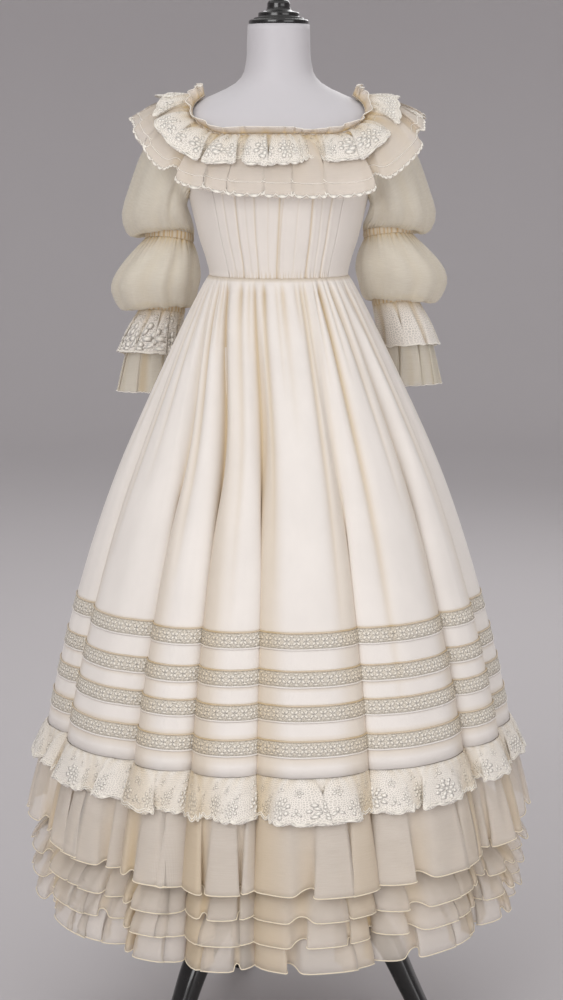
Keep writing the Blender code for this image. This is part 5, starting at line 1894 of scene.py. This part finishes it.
def build_stage(colours):
    """A round floor that sweeps up to a wall, a camera and soft area lights."""
    turn = np.linspace(0.0, math.pi / 2, 16)
    wall_radius = FLOOR_RADIUS + FLOOR_BEND
    bend = FLOOR_RADIUS + FLOOR_BEND * np.sin(turn)
    radius = np.concatenate([[0.02, 1.5, 3.0, 4.5], bend, [wall_radius]])
    height = np.concatenate([[0.0] * 4, FLOOR_BEND * (1 - np.cos(turn)), [FLOOR_BEND + WALL_HEIGHT]])
    around = ring_places(FLOOR_COLUMNS, 2 * math.pi)
    x = radius[:, None] * np.sin(around)
    y = -radius[:, None] * np.cos(around)
    grid = np.stack([x, y, np.broadcast_to(height[:, None], x.shape)], axis=-1)
    corner_rows, corner_columns = quad_corners(*grid.shape[:2], True)
    faces = (corner_rows * len(around) + corner_columns % len(around)).tolist()
    faces.append(tuple(range(len(around))))
    mesh = bpy.data.meshes.new("floor")
    mesh.from_pydata(grid.reshape(-1, 3).tolist(), [], faces)
    mesh.shade_smooth()
    floor = bpy.data.objects.new("floor", mesh)
    material, tree, shader = blank_material("matt studio paint")
    place = add_node(tree, "ShaderNodeTexCoord").outputs["Object"]
    colour = mottled(tree, place, colours.floor, 1.5, 0.01)
    set_inputs(tree, shader, {"Roughness": 0.9}, {"Base Color": colour})
    mesh.materials.append(material)
    bpy.context.scene.collection.objects.link(floor)

    camera_data = bpy.data.cameras.new("camera")
    camera_data.lens = CAMERA_LENS
    camera_data.sensor_fit = "VERTICAL"
    camera_data.sensor_height = CAMERA_SENSOR
    camera = bpy.data.objects.new("camera", camera_data)
    camera.location = CAMERA_PLACE
    camera.rotation_euler = (math.radians(90.0 - CAMERA_TILT), 0.0, 0.0)
    bpy.context.scene.collection.objects.link(camera)
    bpy.context.scene.camera = camera

    for lamp in LAMPS:
        data = bpy.data.lights.new(lamp.name, "AREA")
        data.shape = "SQUARE"
        data.size = lamp.size
        data.energy = lamp.power
        light = bpy.data.objects.new(lamp.name, data)
        light.location = lamp.place
        away = np.array(lamp.place) - np.array(lamp.target)
        level = math.hypot(away[0], away[1])
        light.rotation_euler = (math.atan2(level, away[2]), 0.0, math.atan2(away[0], -away[1]))
        bpy.context.scene.collection.objects.link(light)

    world = bpy.data.worlds.new("studio")
    world.use_nodes = True
    background = world.node_tree.nodes["Background"]
    set_inputs(world.node_tree, background, {"Color": STUDIO_LIGHT, "Strength": STUDIO_STRENGTH})
    bpy.context.scene.world = world
    bpy.context.scene.view_settings.view_transform = "Standard"


def material_named(name):
    """One of the dress's finishes, made when it is first asked for."""
    _, colours = settings()
    if name in bpy.data.materials:
        return bpy.data.materials[name]
    makers = {
        "ivory cotton lawn": lambda: cotton_lawn(name, colours),
        "cream organza": lambda: organza_cloth(name, colours.organza, colours.organza_fold_shade, 0.43, 0.85),
        "tier organza": lambda: organza_cloth(name, colours.organza, colours.organza_fold_shade, 0.29, 0.80),
        "sleeve organza": lambda: organza_cloth(name, colours.sleeve, colours.organza_fold_shade, 0.37, 0.80),
        # the bands' cloth goes over to the gold of their painted shade between the gathered ridges
        "gathered elastic": lambda: organza_cloth(name, colours.sleeve, colours.elastic, 0.75, 1.0),
        "rolled organza hem": lambda: rolled_hem(name, colours),
        "lace net": lambda: lace_net(name, colours.net, colours.organza_fold_shade, 0.62),
        "insertion net": lambda: lace_net(name, colours.insertion, colours.cotton_fold_shade, 0.55),
        "embroidery thread": lambda: stitched_thread(name, colours),
        "jersey form cover": lambda: form_cover(name, colours),
        "black lacquered beech": lambda: black_lacquer(name, colours),
    }
    return makers[name]()


class DRESS_OT_form(bpy.types.Operator):
    """The limbless form and its stand"""

    bl_idname = "dress.form"
    bl_label = "Form and stand"

    def execute(self, context):
        build_torso(material_named("jersey form cover"))
        build_stand(material_named("black lacquered beech"))
        return {"FINISHED"}


class DRESS_OT_bodice(bpy.types.Operator):
    """The pleated front, the sides and the back of the bodice"""

    bl_idname = "dress.bodice"
    bl_label = "Bodice"

    def execute(self, context):
        build_bodice(material_named("ivory cotton lawn"))
        return {"FINISHED"}


class DRESS_OT_collar(bpy.types.Operator):
    """The neck edge and the two tiers of the collar"""

    bl_idname = "dress.collar"
    bl_label = "Collar"

    def execute(self, context):
        organza = material_named("cream organza")
        thread = material_named("embroidery thread")
        build_neck_edge(organza, thread)
        build_collar(material_named("lace net"), organza, thread)
        return {"FINISHED"}


class DRESS_OT_sleeves(bpy.types.Operator):
    """Both sleeves with their puffs, bands and cuffs"""

    bl_idname = "dress.sleeves"
    bl_label = "Sleeves"

    def execute(self, context):
        build_sleeves(
            material_named("sleeve organza"),
            material_named("gathered elastic"),
            material_named("lace net"),
            material_named("embroidery thread"),
        )
        return {"FINISHED"}


class DRESS_OT_skirt(bpy.types.Operator):
    """The gathered skirt and the lace let into it"""

    bl_idname = "dress.skirt"
    bl_label = "Skirt"

    def execute(self, context):
        cotton = material_named("ivory cotton lawn")
        build_skirt(cotton)
        build_insertions(material_named("insertion net"), material_named("embroidery thread"), cotton)
        return {"FINISHED"}


class DRESS_OT_hem(bpy.types.Operator):
    """The hem flounces, the under tiers and the underskirt"""

    bl_idname = "dress.hem"
    bl_label = "Hem"

    def execute(self, context):
        hem = material_named("rolled organza hem")
        build_hem_lace(material_named("lace net"), material_named("embroidery thread"))
        build_hem_sheer(material_named("cream organza"), hem)
        build_under_tiers(material_named("tier organza"), hem)
        build_underskirt(material_named("ivory cotton lawn"))
        return {"FINISHED"}


class DRESS_OT_stage(bpy.types.Operator):
    """The floor, the camera and the lights"""

    bl_idname = "dress.stage"
    bl_label = "Stage"

    def execute(self, context):
        build_stage(settings()[1])
        return {"FINISHED"}


OPERATORS = (
    DRESS_OT_form,
    DRESS_OT_bodice,
    DRESS_OT_collar,
    DRESS_OT_sleeves,
    DRESS_OT_skirt,
    DRESS_OT_hem,
    DRESS_OT_stage,
)


class DRESS_PT_panel(bpy.types.Panel):
    """Lists the dress's sizes, colours and operators"""

    bl_label = "Dress"
    bl_idname = "DRESS_PT_panel"
    bl_space_type = "VIEW_3D"
    bl_region_type = "UI"
    bl_category = "Dress"

    def draw(self, context):
        for group in (context.scene.dress_sizes, context.scene.dress_colours):
            for name in group.__annotations__:
                self.layout.prop(group, name)
        for operator in OPERATORS:
            self.layout.operator(operator.bl_idname)


CLASSES = (DressColours, DressSizes) + OPERATORS + (DRESS_PT_panel,)


def register():
    for cls in CLASSES:
        bpy.utils.register_class(cls)
    bpy.types.Scene.dress_colours = PointerProperty(type=DressColours)
    bpy.types.Scene.dress_sizes = PointerProperty(type=DressSizes)


def unregister():
    del bpy.types.Scene.dress_sizes
    del bpy.types.Scene.dress_colours
    for cls in reversed(CLASSES):
        bpy.utils.unregister_class(cls)


def main():
    register()
    bpy.ops.dress.form()
    bpy.ops.dress.bodice()
    bpy.ops.dress.collar()
    bpy.ops.dress.sleeves()
    bpy.ops.dress.skirt()
    bpy.ops.dress.hem()
    bpy.ops.dress.stage()


if __name__ == "__main__":
    main()
